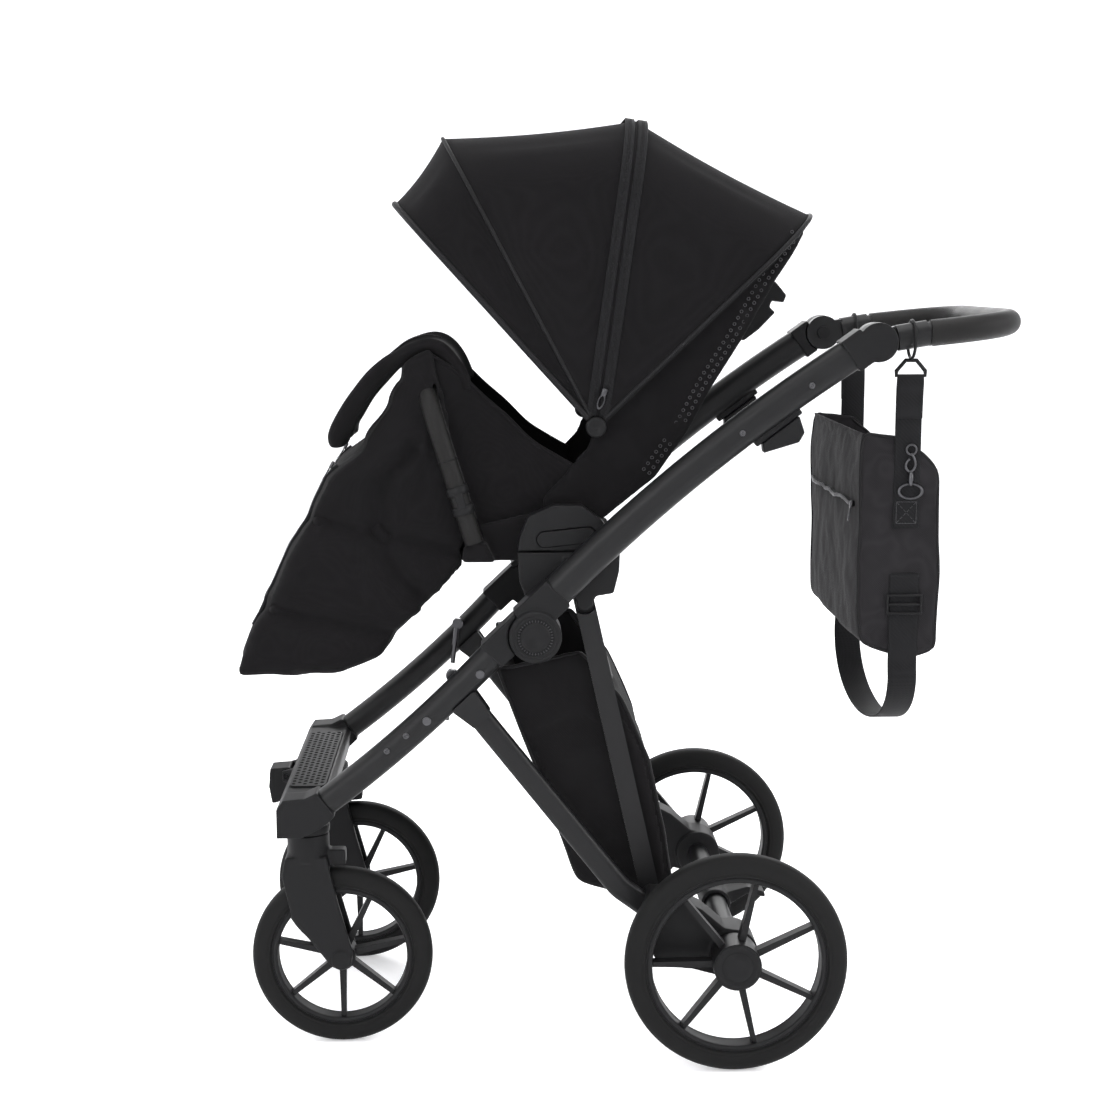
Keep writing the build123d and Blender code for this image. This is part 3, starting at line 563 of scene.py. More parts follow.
def puffed(piece, pressure, cap, frames=20):
    # cloth with air in it, stopped before any point has gone further than cap
    start = [v.co.copy() for v in piece.data.vertices]
    cloth = piece.modifiers.new("cloth", "CLOTH")
    cloth.settings.use_pressure = True
    cloth.settings.uniform_pressure_force = pressure
    cloth.settings.effector_weights.gravity = 0
    cloth.settings.mass = 0.3
    cloth.point_cache.frame_start = 1
    cloth.point_cache.frame_end = frames
    for step in range(1, frames + 1):
        bpy.context.scene.frame_set(step)
    settle(piece)
    for vertex, old in zip(piece.data.vertices, start):
        gone = vertex.co - old
        if gone.length > cap:
            vertex.co = old + gone * (cap / gone.length)
    piece.data.update()
    bpy.context.scene.frame_set(1)
    return piece


def groove(distance, width, depth):
    # a sewn channel: deepest at distance 0
    return -depth * math.exp(-(distance / width) ** 2)


def crease(place, scale, seed, depth):
    # soft irregular folds
    held = place * scale + Vector((seed, 2 * seed, 0))
    return depth * (noise.noise(held) + 0.5 * noise.noise(held * 2.1))


# moulded plastic: each CAD solid again, with its edges rounded
moulded = {"front_crossbar": 0.0020, "swivel_lock_lever": 0.0013, "brake_pedal": 0.0017,
           "recline_handle": 0.0017}
seatCover = {"voxel": 0.0030, "relax": 5}
mouldedRelax = 4
mouldedPairs = {"front_fork": 0.0017, "hub_base": 0.0015, "fold_hub": 0.0013, "axle_housing": 0.0017,
                "seat_mount": 0.0016,
                "seat_adapter": 0.0016, "handle_joint": 0.0014, "fold_trigger": 0.0012}


def buildMoulded():
    sizes = dict(moulded)
    for name, voxel in mouldedPairs.items():
        for side in sides:
            sizes[f"{side}_{name}"] = voxel
    bodyOf = {node: body for body, held in frame["record"]["behaviour"]["bodies"].items() for node in held}
    for node, voxel in sizes.items():
        piece = softFrom(f"{node}_moulding", [node], "blackPlastic", voxel, mouldedRelax)
        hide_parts(node)
        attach(piece, bodyOf[node])
    shell = softFrom("seat_side_cover", ["seat_shell"], "seatFabric", seatCover["voxel"], seatCover["relax"])
    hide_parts("seat_shell")
    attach(shell, "seat")
    print("moulded plastic rounded")


# seat cushion and back cushion: sewn channels, puffed by the cloth solver
seatPad = {"voxel": 0.006, "relax": 6, "shrink": 0.002, "pressure": 4.0, "cap": 0.007,
           "seams": (-0.175, -0.115)}
backPad = {"voxel": 0.007, "relax": 6, "shrink": 0.002, "pressure": 4.0, "cap": 0.008, "spacing": 0.085,
           "seamDepth": 0.006}


def buildSeatPad():
    piece = softFrom("seat_pad", ["seat_cushion"], "liningFabric", seatPad["voxel"], seatPad["relax"],
                     seatPad["shrink"])
    puffed(piece, seatPad["pressure"], seatPad["cap"])
    moveBy(piece, lambda p, n: n * max(n.z, 0) * sum(groove(p.y - y, 0.006, 0.006) for y in seatPad["seams"]))
    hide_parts("seat_cushion")
    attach(piece, "seat")
    print("seat pad made")


def buildBackPad():
    piece = softFrom("back_pad", ["back_cushion"], "liningFabric", backPad["voxel"], backPad["relax"],
                     backPad["shrink"])
    puffed(piece, backPad["pressure"], backPad["cap"])
    low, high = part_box("back_cushion")
    way = Vector((0, high.y - low.y, high.z - low.z)).normalized()

    def quilt(place, normal):
        along = (place - low).dot(way)
        gap = (along + backPad["spacing"] / 2) % backPad["spacing"] - backPad["spacing"] / 2
        return normal * max(-normal.y, 0) * groove(gap, 0.007, backPad["seamDepth"])

    moveBy(piece, quilt)
    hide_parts("back_cushion")
    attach(piece, "backrest")
    print("back pad made")


# backrest: fabric drawn over the shell, with an eyelet strip down each rear edge
backShell = {"voxel": 0.0036, "relax": 8, "bulge": 0.0015, "eyeletSpacing": 0.0092,
             "eyeletRows": (0.010, 0.019)}
recline = pivotOf("recline")
canopyPivot = pivotOf("canopy_middle_turn")
wingEdge = [(0.021, 0.763), (0.063, 0.824), (0.094, 0.881), (0.131, 0.940), (0.175, 1.018), (0.214, 1.074)]
shiftY = canopyPivot.y + 0.058  # from the design's own Y to the frame's


def buildBackShell():
    def shape(place, normal):
        outer = abs(normal.x) * crease(place, 22, 3.0, backShell["bulge"])
        return normal * outer
    piece = softFrom("back_shell_cover", ["backrest_shell"], "seatFabric", backShell["voxel"],
                     backShell["relax"],
                     0.0, shape)
    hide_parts("backrest_shell")
    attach(piece, "backrest")
    halfWidth = 0.152
    line = smoothLine([(0, y + shiftY, z) for y, z in wingEdge], 8)
    spots = []
    for inset in backShell["eyeletRows"]:
        for sign in (1, -1):
            path = []
            for a, b in zip(line, line[1:]):
                way = (b - a).normalized()
                inward = Vector((0, -way.z, way.y))
                path.append(Vector((sign * (halfWidth + 0.0004), 0, 0)) + a + inward * inset)
            spots += spotsAlong(path, backShell["eyeletSpacing"], lambda here, s=sign: (s, 0, 0))
    ring = ringShape("eyelet", 0.0019, 0.0006, 12)
    eyelets = repeated("back_eyelets", ring, spots, "eyeletRing")
    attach(eyelets, "backrest")
    print("back shell made")


def ringShape(name, radius, wire, turns=12, sides=6):
    points = []
    faces = []
    for k in range(turns):
        a = 2 * math.pi * k / turns
        for i in range(sides):
            b = 2 * math.pi * i / sides
            r = radius + wire * math.cos(b)
            points.append((r * math.cos(a), r * math.sin(a), wire * math.sin(b)))
    for k in range(turns):
        for i in range(sides):
            j = (i + 1) % sides
            k2 = (k + 1) % turns
            faces.append((k * sides + i, k2 * sides + i, k2 * sides + j, k * sides + j))
    return outward(meshPiece(name, points, faces))


# canopy: one curved sheet on each side of the middle bow
canopy = {"half": 0.1690, "corner": 0.092, "foot": 0.014, "wall": 0.0022, "across": 96, "along": 22,
          "rear": (43.5, 0.3945), "middle": (82.0, 0.3965), "front": (118.0, 0.4185),
          "visor": (132.3, 0.3860),
          "sag": 0.007, "topSag": 0.0045}


def bowLine(angle, reach, count, half=None):
    # the fabric's line in a bow's plane, from the left foot over the top to the right foot
    half = half or canopy["half"]
    corner = canopy["corner"]
    foot = canopy["foot"]
    straight = reach - corner - foot
    arc = corner * math.pi / 2
    top = 2 * (half - corner)
    total = 2 * straight + 2 * arc + top
    up = Vector((0, math.cos(math.radians(angle)), math.sin(math.radians(angle))))
    line = []
    for i in range(count + 1):
        s = total * i / count
        mirror = 1
        if s > total / 2:
            s = total - s
            mirror = -1
        if s < straight:
            x, r = half, foot + s
        elif s < straight + arc:
            a = (s - straight) / corner
            x = half - corner + corner * math.cos(a)
            r = reach - corner + corner * math.sin(a)
        else:
            x = half - corner - (s - straight - arc)
            r = reach
        line.append(canopyPivot + Vector((mirror * x, 0, 0)) + up * r)
    return line


def canopySheet(name, bows, finish, steps):
    # straight between neighbouring bows, drawn in a little between them
    count = canopy["across"]
    rows = []
    for k, (first, second) in enumerate(zip(bows, bows[1:])):
        a = bowLine(*first, count)
        b = bowLine(*second, count)
        last = k == len(bows) - 2
        for step in range(steps + (1 if last else 0)):
            t = step / steps
            row = []
            for i in range(count + 1):
                place = a[i].lerp(b[i], t)
                draw = 4 * t * (1 - t)
                edge = min(i, count - i) / count
                sideShare = max(0.0, 1 - abs(edge - 0.22) / 0.2)
                inward = Vector((-math.copysign(1, place.x) if abs(place.x) > 0.06 else 0, 0, 0))
                down = (canopyPivot - place)
                down.x = 0
                down.normalize()
                place = place + inward * canopy["sag"] * draw * sideShare
                if edge > 0.36:
                    place = place + down * canopy["topSag"] * draw
                ripple = crease(place, 16, 7.0 + k, 0.0012) * draw
                row.append(place + inward * ripple)
            rows.append(row)
    points = [p for row in rows for p in row]
    faces = []
    width = count + 1
    for r in range(len(rows) - 1):
        for i in range(count):
            faces.append((r * width + i, r * width + i + 1, (r + 1) * width + i + 1, (r + 1) * width + i))
    piece = meshPiece(name, points, faces, finish)
    centre = canopyPivot + Vector((0, 0.05, 0.2))
    middle = piece.data.polygons[len(faces) // 2]
    if middle.normal.dot(middle.center - centre) < 0:
        piece.data.flip_normals()
    return piece, rows


def bowBlend(piece, first, second, bodyA, bodyB):
    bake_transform(piece)


def bandAlong(name, line, width, lift, finish, sideways):
    # a flat raised strip centred on a line; sideways gives the width's direction at a place
    points = []
    faces = []
    for i, place in enumerate(line):
        across = sideways(place).normalized()
        before = line[max(i - 1, 0)]
        after = line[min(i + 1, len(line) - 1)]
        up = (after - before).cross(across).normalized()
        if up.dot(place - canopyPivot - Vector((0, 0, 0.1))) < 0:
            up = -up
        for s, h in ((-0.5, 0.0), (-0.42, 1.0), (0.42, 1.0), (0.5, 0.0), (0.42, -0.4), (-0.42, -0.4)):
            points.append(place + across * width * s + up * lift * h)
    for i in range(len(line) - 1):
        for k in range(6):
            j = (k + 1) % 6
            faces.append((i * 6 + k, i * 6 + j, (i + 1) * 6 + j, (i + 1) * 6 + k))
    last = (len(line) - 1) * 6
    faces.append(tuple(range(6)))
    faces.append(tuple(reversed(range(last, last + 6))))
    return outward(meshPiece(name, points, faces, finish))


def tangentAt(angle):
    return Vector((0, -math.sin(math.radians(angle)), math.cos(math.radians(angle))))


def buildCanopy():
    rear, middle, front, visor = (canopy[k] for k in ("rear", "middle", "front", "visor"))
    rearSheet, rearRows = canopySheet("canopy_rear_sheet", [rear, middle], "seatFabric", canopy["along"])
    frontSheet, frontRows = canopySheet("canopy_front_sheet", [middle, front, visor], "seatFabric",
                                        canopy["along"])
    for piece, node, ends, pair in (
            (rearSheet, "canopy_rear_panel", (rear[0], middle[0]), ("backrest", "canopy_middle")),
            (frontSheet, "canopy_front_panel", (middle[0], front[0]), ("canopy_middle", "canopy_front"))):
        thickened(piece, canopy["wall"])
        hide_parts(node)
        bowBlend(piece, *ends, *pair)
    # piping on the rear bow, a seam on the front bow and the bound visor edge
    binding = [("canopy_rear_piping", rear, "backrest", 0.0030),
               ("canopy_front_piping", front, "canopy_front", 0.0026),
               ("canopy_visor_binding", visor, "canopy_front", 0.0042)]
    for name, bow, body, radius in binding:
        line = bowLine(bow[0], bow[1] + 0.0002, 120)
        piece = curvePiece(name, line, radius, "piping", sides=12)
        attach(piece, body)
    # the zip band over the middle bow: two closed zips side by side
    for index, offset in enumerate((-0.0085, 0.0085)):
        line = [p + tangentAt(middle[0]) * offset for p in bowLine(middle[0], middle[1] + 0.0008, 150)]
        tape = bandAlong(f"canopy_zip_tape_{index}", line, 0.013, 0.0016, "webbing",
                         lambda here: tangentAt(middle[0]))
        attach(tape, "canopy_middle")
        tooth = smallBox("tooth", 0.0011, 0.0042, 0.0014)

        def outwardAt(here):
            flat = here - canopyPivot
            away = Vector((0, flat.y, flat.z)).normalized() * max(0, abs(flat.length) - 0.3) * 4
            return Vector((math.copysign(1, flat.x) if abs(flat.x) > 0.075 else 0, 0, 0)) + away
        raised = [p + Vector(outwardAt(p)).normalized() * 0.0014 for p in line]
        teeth = repeated(f"canopy_zip_teeth_{index}", tooth, spotsAlong(raised, 0.0021, outwardAt), "piping")
        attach(teeth, "canopy_middle")
    for sign, side in ((1, "left"), (-1, "right")):
        hub = canopyPivot + Vector((sign * 0.1715, 0, 0))
        cap = lathe(f"canopy_{side}_pivot_cap", hub,
                    [(-0.004, 0.0), (-0.004, 0.0125), (-0.0005, 0.0135), (0.0022, 0.0125),
                    (0.003, 0.010), (0.0022, 0.0075), (0.0022, 0.0035), (0.0014, 0.003), (0.0014, 0.0)],
                    "blackPlastic", sign)
        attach(cap, "backrest")
        puller = zipPull(f"canopy_{side}_zip_pull", hub + Vector((sign * 0.0035, 0.010, 0.045)),
                         Vector((0, -0.35, -1)),
                         Vector((sign, 0, 0)))
        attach(puller, "canopy_middle")
    print("canopy made")
    return rearRows, frontRows


def zipPull(name, place, down, out):
    # a slider body with a flat ring pull hanging from it
    down = Vector(down).normalized()
    out = Vector(out).normalized()
    across = down.cross(out).normalized()
    turn = Matrix((down, across, out)).transposed().to_4x4()
    turn.translation = place
    body = smallBox("slider", 0.010, 0.007, 0.0045)
    modify(body, "BEVEL", width=0.0014, segments=2)
    settle(body)
    ring = ringShape("pullRing", 0.0048, 0.0009, 16)
    ring.data.transform(Matrix.Diagonal((1.9, 0.8, 1, 1)))
    ring.data.transform(Matrix.Translation((0.0125, 0, 0.001)))
    for piece in (body, ring):
        piece.data.materials.append(materials["gunmetal"])
        piece.data.transform(turn)
    whole = joined(name, [body, ring])
    return whole


# foot cover: a padded bag over the legs, sewn across, with its top folded over the bumper bar
cover = {"voxel": 0.0055, "relax": 9, "seamWidth": 0.010, "seamGap": 0.131, "seamDepth": 0.0075, "puff": 0.006,
         "pressure": 1.2, "cap": 0.004, "frames": 12, "lapHalf": 0.1455, "lapThick": 0.0035,
         "seams": (0.585, 0.716), "flapHalf": 0.149, "flapThick": 0.015, "foldDepth": 0.009}
# how far the front draws back behind the flap, by height
coverDraw = [(0.760, 0.0), (0.805, 0.026), (0.850, 0.043), (0.882, 0.036), (0.916, 0.012), (0.934, 0.0)]
coverFront = [(-0.506, 0.566), (-0.468, 0.640), (-0.432, 0.712), (-0.392, 0.785)]
# one deep fold down each side, and the lap's edge from the bumper bar back to the canopy
coverFold = [(-0.318, 0.800), (-0.336, 0.745), (-0.338, 0.690), (-0.318, 0.640), (-0.290, 0.612)]
# the folded-over flap in side view, from its root at the back over the top and down the front
flapLine = [(-0.232, 0.872), (-0.245, 0.905), (-0.268, 0.926), (-0.298, 0.919), (-0.324, 0.903),
            (-0.350, 0.877),
            (-0.373, 0.846), (-0.388, 0.820), (-0.391, 0.803)]
# the lap's side panel, its upper edge and its lower edge from front to back
lapTop = [(-0.272, 0.922), (-0.236, 0.899), (-0.203, 0.868), (-0.173, 0.842), (-0.143, 0.812),
          (-0.112, 0.792), (-0.082, 0.775)]
lapFoot = [(-0.238, 0.690), (-0.208, 0.668), (-0.184, 0.668), (-0.162, 0.670), (-0.140, 0.674),
           (-0.112, 0.678), (-0.086, 0.682)]


def buildFootCover():
    shell = softFrom("foot_cover_shell", ["foot_cover"], "seatFabric", cover["voxel"], cover["relax"])
    puffed(shell, cover["pressure"], cover["cap"], cover["frames"])
    fold = smoothLine([(0, y + shiftY, z) for y, z in coverFold], 5)

    def quilt(place, normal):
        # seams run level across the front and dip a little at the middle
        y = place.y - shiftY
        dip = 0.012 * math.cos(math.pi * place.x / 0.32)
        height = place.z + dip + 0.22 * (y + 0.45)
        move = 0.0
        for seam in cover["seams"]:
            move += groove(height - seam, cover["seamWidth"],
                           cover["seamDepth"]) * (0.3 + 0.7 * abs(normal.x))
        swell = abs(math.sin(math.pi * (height - cover["seams"][0]) / cover["seamGap"]))
        nearSeams = max(0, 1 - abs(height - 0.60) / 0.26)
        move += cover["puff"] * swell * nearSeams * (0.3 + 0.7 * abs(normal.x))
        if abs(normal.x) > 0.4:
            flat = Vector((0, place.y, place.z))
            gap = min((flat - p).length for p in fold)
            move += groove(gap, 0.011, cover["foldDepth"])
            move += 0.0035 * math.exp(-((gap - 0.024) / 0.012) ** 2)
        draw = eased(coverDraw, place.z) * min(1.0, max(0.0, (-0.262 - y) / 0.05))
        folds = move + crease(place, 11, 1.0, 0.0042) + crease(place, 27, 5.0, 0.0016)
        return normal * folds + Vector((0, draw, 0))
    moveBy(shell, quilt)
    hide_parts("foot_cover")
    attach(shell, "seat")
    # the flap, rounded at its free corners
    line = smoothLine([Vector((0, y + shiftY, z)) for y, z in flapLine], 7)
    count = len(line) - 1
    across = 44
    rows = []
    for i, place in enumerate(line):
        t = i / count
        half = cover["flapHalf"] - 0.034 * max(0.0, (t - 0.78) / 0.22) ** 2.4
        ahead = (line[min(i + 1, count)] - line[max(i - 1, 0)]).normalized()
        out = Vector((0, ahead.z, -ahead.y))
        row = []
        for k in range(across + 1):
            s = 2 * k / across - 1
            edge = max(0.0, (abs(s) - 0.80) / 0.20)
            roll = 0.016 * edge ** 2
            wave = crease(Vector((s * 0.15, t * 0.3, 0)), 15, 9.0, 0.0035)
            row.append(place + Vector((s * half, 0, 0)) + out * (roll + wave))
        rows.append(row)
    width = across + 1
    points = [p for row in rows for p in row]
    faces = [(r * width + k, r * width + k + 1, (r + 1) * width + k + 1, (r + 1) * width + k)
             for r in range(count) for k in range(across)]
    flap = meshPiece("foot_cover_flap", points, faces, "seatFabric")
    thickened(flap, cover["flapThick"], 0)
    outward(flap)
    modify(flap, "SMOOTH", factor=0.5, iterations=3)
    subdivided(flap)
    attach(flap, "seat")
    # a sewn seam a finger's width inside the flap's free edge
    inset = 3
    edge = [row[inset] for row in rows[8:-inset]] + rows[-1 - inset][inset:-inset]
    edge += [row[-1 - inset] for row in reversed(rows[8:-inset])]
    outerEdge = [p + Vector((0, -0.02, 0.02)) for p in edge]
    binding = curvePiece("foot_cover_flap_seam", laidOn(flap, outerEdge, 0.0002), 0.0011, "piping", sides=8)
    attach(binding, "seat")
    for sign, side in ((1, "left"), (-1, "right")):
        buildLapPanel(side, sign)
        buildCoverZip(side, sign, shell)
    print("foot cover made")


def buildLapPanel(side, sign):
    # the lap's side, creased where it hangs from the bumper bar to the canopy
    top = smoothLine([(0, y + shiftY, z) for y, z in lapTop], 8)
    foot = smoothLine([(0, y + shiftY, z) for y, z in lapFoot], 8)
    steps = 36
    points = []
    for a, b in zip(top, foot):
        for k in range(steps + 1):
            t = k / steps
            place = a.lerp(b, t)
            hang = crease(Vector((0, place.y * 0.6 + place.z * 0.5, place.z - place.y)), 21, 4.0,
                          0.0030) * math.sin(math.pi * t)
            belly = -0.010 * math.sin(math.pi * t) * math.sin(math.pi * min(1, (place.y - top[0].y) / 0.19))
            points.append(place + Vector((sign * (cover["lapHalf"] + belly + min(hang, 0.001)), 0, 0)))
    width = steps + 1
    faces = [(r * width + k, r * width + k + 1, (r + 1) * width + k + 1, (r + 1) * width + k)
             for r in range(len(top) - 1) for k in range(steps)]
    panel = meshPiece(f"foot_cover_{side}_lap", points, faces, "seatFabric")
    thickened(panel, cover["lapThick"], 0)
    outward(panel)
    subdivided(panel)
    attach(panel, "seat")
    hem = curvePiece(f"foot_cover_{side}_lap_hem",
                     [p + Vector((sign * cover["lapHalf"], 0, 0)) for p in top[::2]], 0.0030, "seatFabric",
                     sides=10)
    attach(hem, "seat")


def buildCoverZip(side, sign, shell):
    front = smoothLine([(0, y + shiftY, z) for y, z in coverFront], 12)
    base = [Vector((sign * 0.128, p.y - 0.01, p.z + 0.004)) for p in front]
    line = laidOn(shell, base, 0.0006)
    tape = curvePiece(f"foot_cover_{side}_zip_tape", line[::3] + [line[-1]], 0.0030, "webbing", sides=10)
    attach(tape, "seat")
    tooth = smallBox("tooth", 0.0012, 0.0046, 0.0016)
    raised = [p + Vector((0, -0.0026, 0.0014)) for p in line]
    teeth = repeated(f"foot_cover_{side}_zip", tooth,
                     spotsAlong(raised, 0.0023, lambda here: (0, -0.85, 0.5)), "gunmetal")
    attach(teeth, "seat")
    pull = zipPull(f"foot_cover_{side}_zip_pull", line[-2] + Vector((0, -0.006, 0.003)),
                   Vector((0, -0.5, -0.9)),
                   Vector((0, -0.85, 0.5)))
    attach(pull, "seat")


# basket: taut fabric with bound edges, hung between the rear legs
basketShape = {"voxel": 0.0036, "relax": 6, "rim": [(-0.187, 0.512), (-0.130, 0.5235), (-0.078, 0.534)],
               "half": 0.1655}


def buildBasket():
    low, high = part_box("basket")

    def shape(place, normal):
        # the walls hang in a little between the bound edges
        side = abs(normal.x)
        t = (place.z - low.z) / (high.z - low.z)
        hollow = -0.0035 * math.sin(math.pi * min(max(t, 0), 1))
        return normal * (hollow * (0.4 + 0.6 * side)
                         * (1 if abs(place.x) > 0.160 or abs(normal.x) < 0.5 else 0)
                         + crease(place, 15, 4.0, 0.0016))
    bag = softFrom("basket_fabric", ["basket"], "liningFabric", basketShape["voxel"], basketShape["relax"],
                   0.0, shape)
    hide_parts("basket")
    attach(bag, "rear_frame")
    edge = [(-0.187, 0.512), (-0.135, 0.521), (-0.080, 0.532), (-0.055, 0.508), (-0.022, 0.470),
            (0.015, 0.387),
            (0.037, 0.284), (0.050, 0.196), (0.040, 0.185), (-0.080, 0.222), (-0.132, 0.362)]
    for sign, side in ((1, "left"), (-1, "right")):
        line = [Vector((sign * (basketShape["half"] - 0.0035), y + shiftY, z)) for y, z in edge]
        loop = laidOn(bag, smoothLine(line, 6, closed=True), 0.0004)
        pipe = curvePiece(f"basket_{side}_binding", loop, 0.0026, "piping", closed=True, sides=10)
        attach(pipe, "rear_frame")
    for name, y, z in (("front", -0.187, 0.513), ("rear", -0.076, 0.533)):
        ends = [Vector((x * basketShape["half"] * 0.98, y + shiftY, z - 0.012 * (1 - x * x)))
                for x in (-1, -0.75, -0.5, -0.25, 0, 0.25, 0.5, 0.75, 1)]
        rim = curvePiece(f"basket_{name}_rim", laidOn(bag, ends, 0.0006), 0.0036, "piping", sides=10)
        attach(rim, "rear_frame")
    print("basket made")


# changing bag
bagShape = {"voxel": 0.0031, "relax": 7, "sag": 0.006, "zipHeight": 0.728, "half": 0.189}


def buildBag():
    low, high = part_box("bag")

    def shape(place, normal):
        t = (high.z - place.z) / (high.z - low.z)
        belly = bagShape["sag"] * math.sin(math.pi * min(1, max(0, t))) * (0.5 + 0.5 * t)
        mouth = -0.004 * max(0, 1 - t * 6)
        xShare = 1 - (abs(place.x) / bagShape["half"]) ** 4
        return (normal * (belly * xShare * abs(normal.y) + mouth)
                + normal * (crease(place, 11, 2.0, 0.0035) + crease(place, 30, 6.0, 0.0012)))
    body = softFrom("bag_body", ["bag"], "bagFabric", bagShape["voxel"], bagShape["relax"], -0.0002, shape)
    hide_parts("bag")
    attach(body, "bag")
    # bound seams round both side panels
    outline = [(0.285, 0.815), (0.330, 0.818), (0.349, 0.806), (0.384, 0.768), (0.389, 0.657), (0.386, 0.545),
               (0.350, 0.532), (0.302, 0.543), (0.286, 0.560), (0.283, 0.700)]
    for sign, side in ((1, "left"), (-1, "right")):
        line = smoothLine([Vector((sign * (bagShape["half"] - 0.002), y + shiftY, z)) for y, z in outline],
                          5, closed=True)
        seam = curvePiece(f"bag_{side}_seam", laidOn(body, line, 0.0002), 0.0020, "piping", closed=True,
                          sides=8)
        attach(seam, "bag")
    # front pocket with its zip, on the face towards the seat
    frontY = low.y - 0.0035
    zipLine = laidOn(body, [(x * 0.01, frontY - 0.02, bagShape["zipHeight"]) for x in range(-16, 17)], 0.0)
    tape = curvePiece("bag_zip_tape", zipLine, 0.0034, "webbing", sides=8)
    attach(tape, "bag")
    teeth = repeated("bag_zip_teeth", smallBox("tooth", 0.0012, 0.0046, 0.0016),
                     spotsAlong([p + Vector((0, -0.0033, 0)) for p in zipLine], 0.0023,
                                lambda here: (0, -1, 0)), "gunmetal")
    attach(teeth, "bag")
    pull = zipPull("bag_zip_pull", zipLine[-1] + Vector((0.002, -0.005, 0)), Vector((0.3, -0.2, -1)),
                   Vector((0, -1, 0)))
    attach(pull, "bag")
    buildStraps()
    print("bag made")


strap = {"width": 0.034, "thick": 0.0024, "hangY": 0.343, "wide": 0.038}


def ribbon(name, line, across, width, thick, finish):
    # a flat band along a line; across is the width's direction
    across = Vector(across).normalized()
    points = []
    faces = []
    for i, place in enumerate(line):
        ahead = (Vector(line[min(i + 1, len(line) - 1)]) - Vector(line[max(i - 1, 0)])).normalized()
        out = ahead.cross(across).normalized()
        for s, h in ((-0.5, 0.6), (-0.46, 1.0), (0.46, 1.0), (0.5, 0.6), (0.5, -0.6), (0.46, -1.0),
                     (-0.46, -1.0), (-0.5, -0.6)):
            points.append(Vector(place) + across * width * s + out * thick / 2 * h)
    for i in range(len(line) - 1):
        for k in range(8):
            j = (k + 1) % 8
            faces.append((i * 8 + k, i * 8 + j, (i + 1) * 8 + j, (i + 1) * 8 + k))
    last = (len(line) - 1) * 8
    faces += [tuple(range(8)), tuple(reversed(range(last, last + 8)))]
    return outward(meshPiece(name, points, faces, finish))


def buildStraps():
    hingeAt = pivotOf("bag_swing")
    y = hingeAt.y
    handleX = 0.196
    ringRadius, wire = 0.0240, 0.0020
    for sign, side in ((1, "left"), (-1, "right")):
        x = sign * 0.1902
        # the strap goes up from the bag's side, through the clip's bar and back down on itself
        up = [(x, y, 0.700), (x, y, 0.760), (x, y, 0.820), (x, y, 0.868), (sign * 0.1915, y, 0.884),
              (sign * 0.1950, y, 0.897)]
        band = ribbon(f"bag_{side}_strap", smoothLine(up, 5), (0, 1, 0), strap["width"], strap["thick"],
                      "webbing")
        fold = [(sign * 0.1955, y, 0.8975), (sign * 0.1975, y, 0.890), (sign * 0.1955, y, 0.872),
                (sign * 0.1935, y, 0.842)]
        back = ribbon(f"bag_{side}_strap_end", smoothLine(fold, 5), (0, 1, 0), strap["width"],
                      strap["thick"], "webbing")
        # the clip: a D of moulded wire, and the ring over the handle
        ringCentre = Vector((sign * handleX, y, hingeAt.z - ringRadius))
        ring = ringShape(f"ring{side}", ringRadius, wire, 40, 10)
        ring.data.transform(Matrix.Rotation(math.pi / 2, 4, "X"))
        ring.data.transform(Matrix.Translation(ringCentre))
        ring.data.materials.append(materials["blackPlastic"])
        d = [(0, -0.0185, 0.897), (0, 0.0185, 0.897), (0, 0.0185, 0.903), (0, 0.007, 0.9165),
             (0, -0.007, 0.9165), (0, -0.0185, 0.903)]
        clip = curvePiece(f"clip{side}", [Vector((sign * 0.1955 + p[0], y + p[1], p[2])) for p in d], 0.0027,
                          "blackPlastic",
                          closed=True, smooth=False, sides=10)
        hook = joined(f"bag_{side}_hook", [ring, clip])
        stitches = repeated(f"bag_{side}_stitches", smallBox("stitch", 0.0042, 0.0008, 0.0006),
                            [(Vector((x + sign * 0.0015, y + a, z)), (0, b, c), (sign, 0, 0))
                             for a, z, b, c in crossStitch(0.706, 0.734)], "eyeletRing")
        for piece in (band, back, hook, stitches):
            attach(piece, "bag")
        # shoulder strap's swivel hook on a small ring, and the strap's slide on the side
        buildSwivelHook(side, sign, y)
    # the shoulder strap: down both sides, under the bag in a slack loop
    lowest, turn, top = 0.4135, 0.522, 0.640
    half = 0.1905
    line = [Vector((half, y, top)), Vector((half, y, 0.60)), Vector((half, y, 0.56)), Vector((half, y, turn))]
    for k in range(1, 12):
        a = math.pi * k / 12
        line.append(Vector((half * math.cos(a), y + 0.004 * math.sin(2 * a),
                            turn - (turn - lowest) * math.sin(a))))
    line += [Vector((-half, y, z)) for z in (turn, 0.56, 0.60, top)]
    loop = ribbon("bag_shoulder_strap", smoothLine(line, 5), (0, 1, 0), strap["wide"], strap["thick"],
                  "webbing")
    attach(loop, "bag")
    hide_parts("bag_straps")


def crossStitch(low, high):
    # a square of stitches with a cross in it: (across, height, way across, way up)
    spots = []
    for k in range(6):
        t = (k + 0.5) / 6
        z = low + (high - low) * t
        a = 0.013 * (2 * t - 1)
        spots += [(-0.013, z, 0, 1), (0.013, z, 0, 1), (a, low, 1, 0), (a, high, 1, 0), (a, z, 0.7, 0.7),
                  (-a, z, -0.7, 0.7)]
    return spots


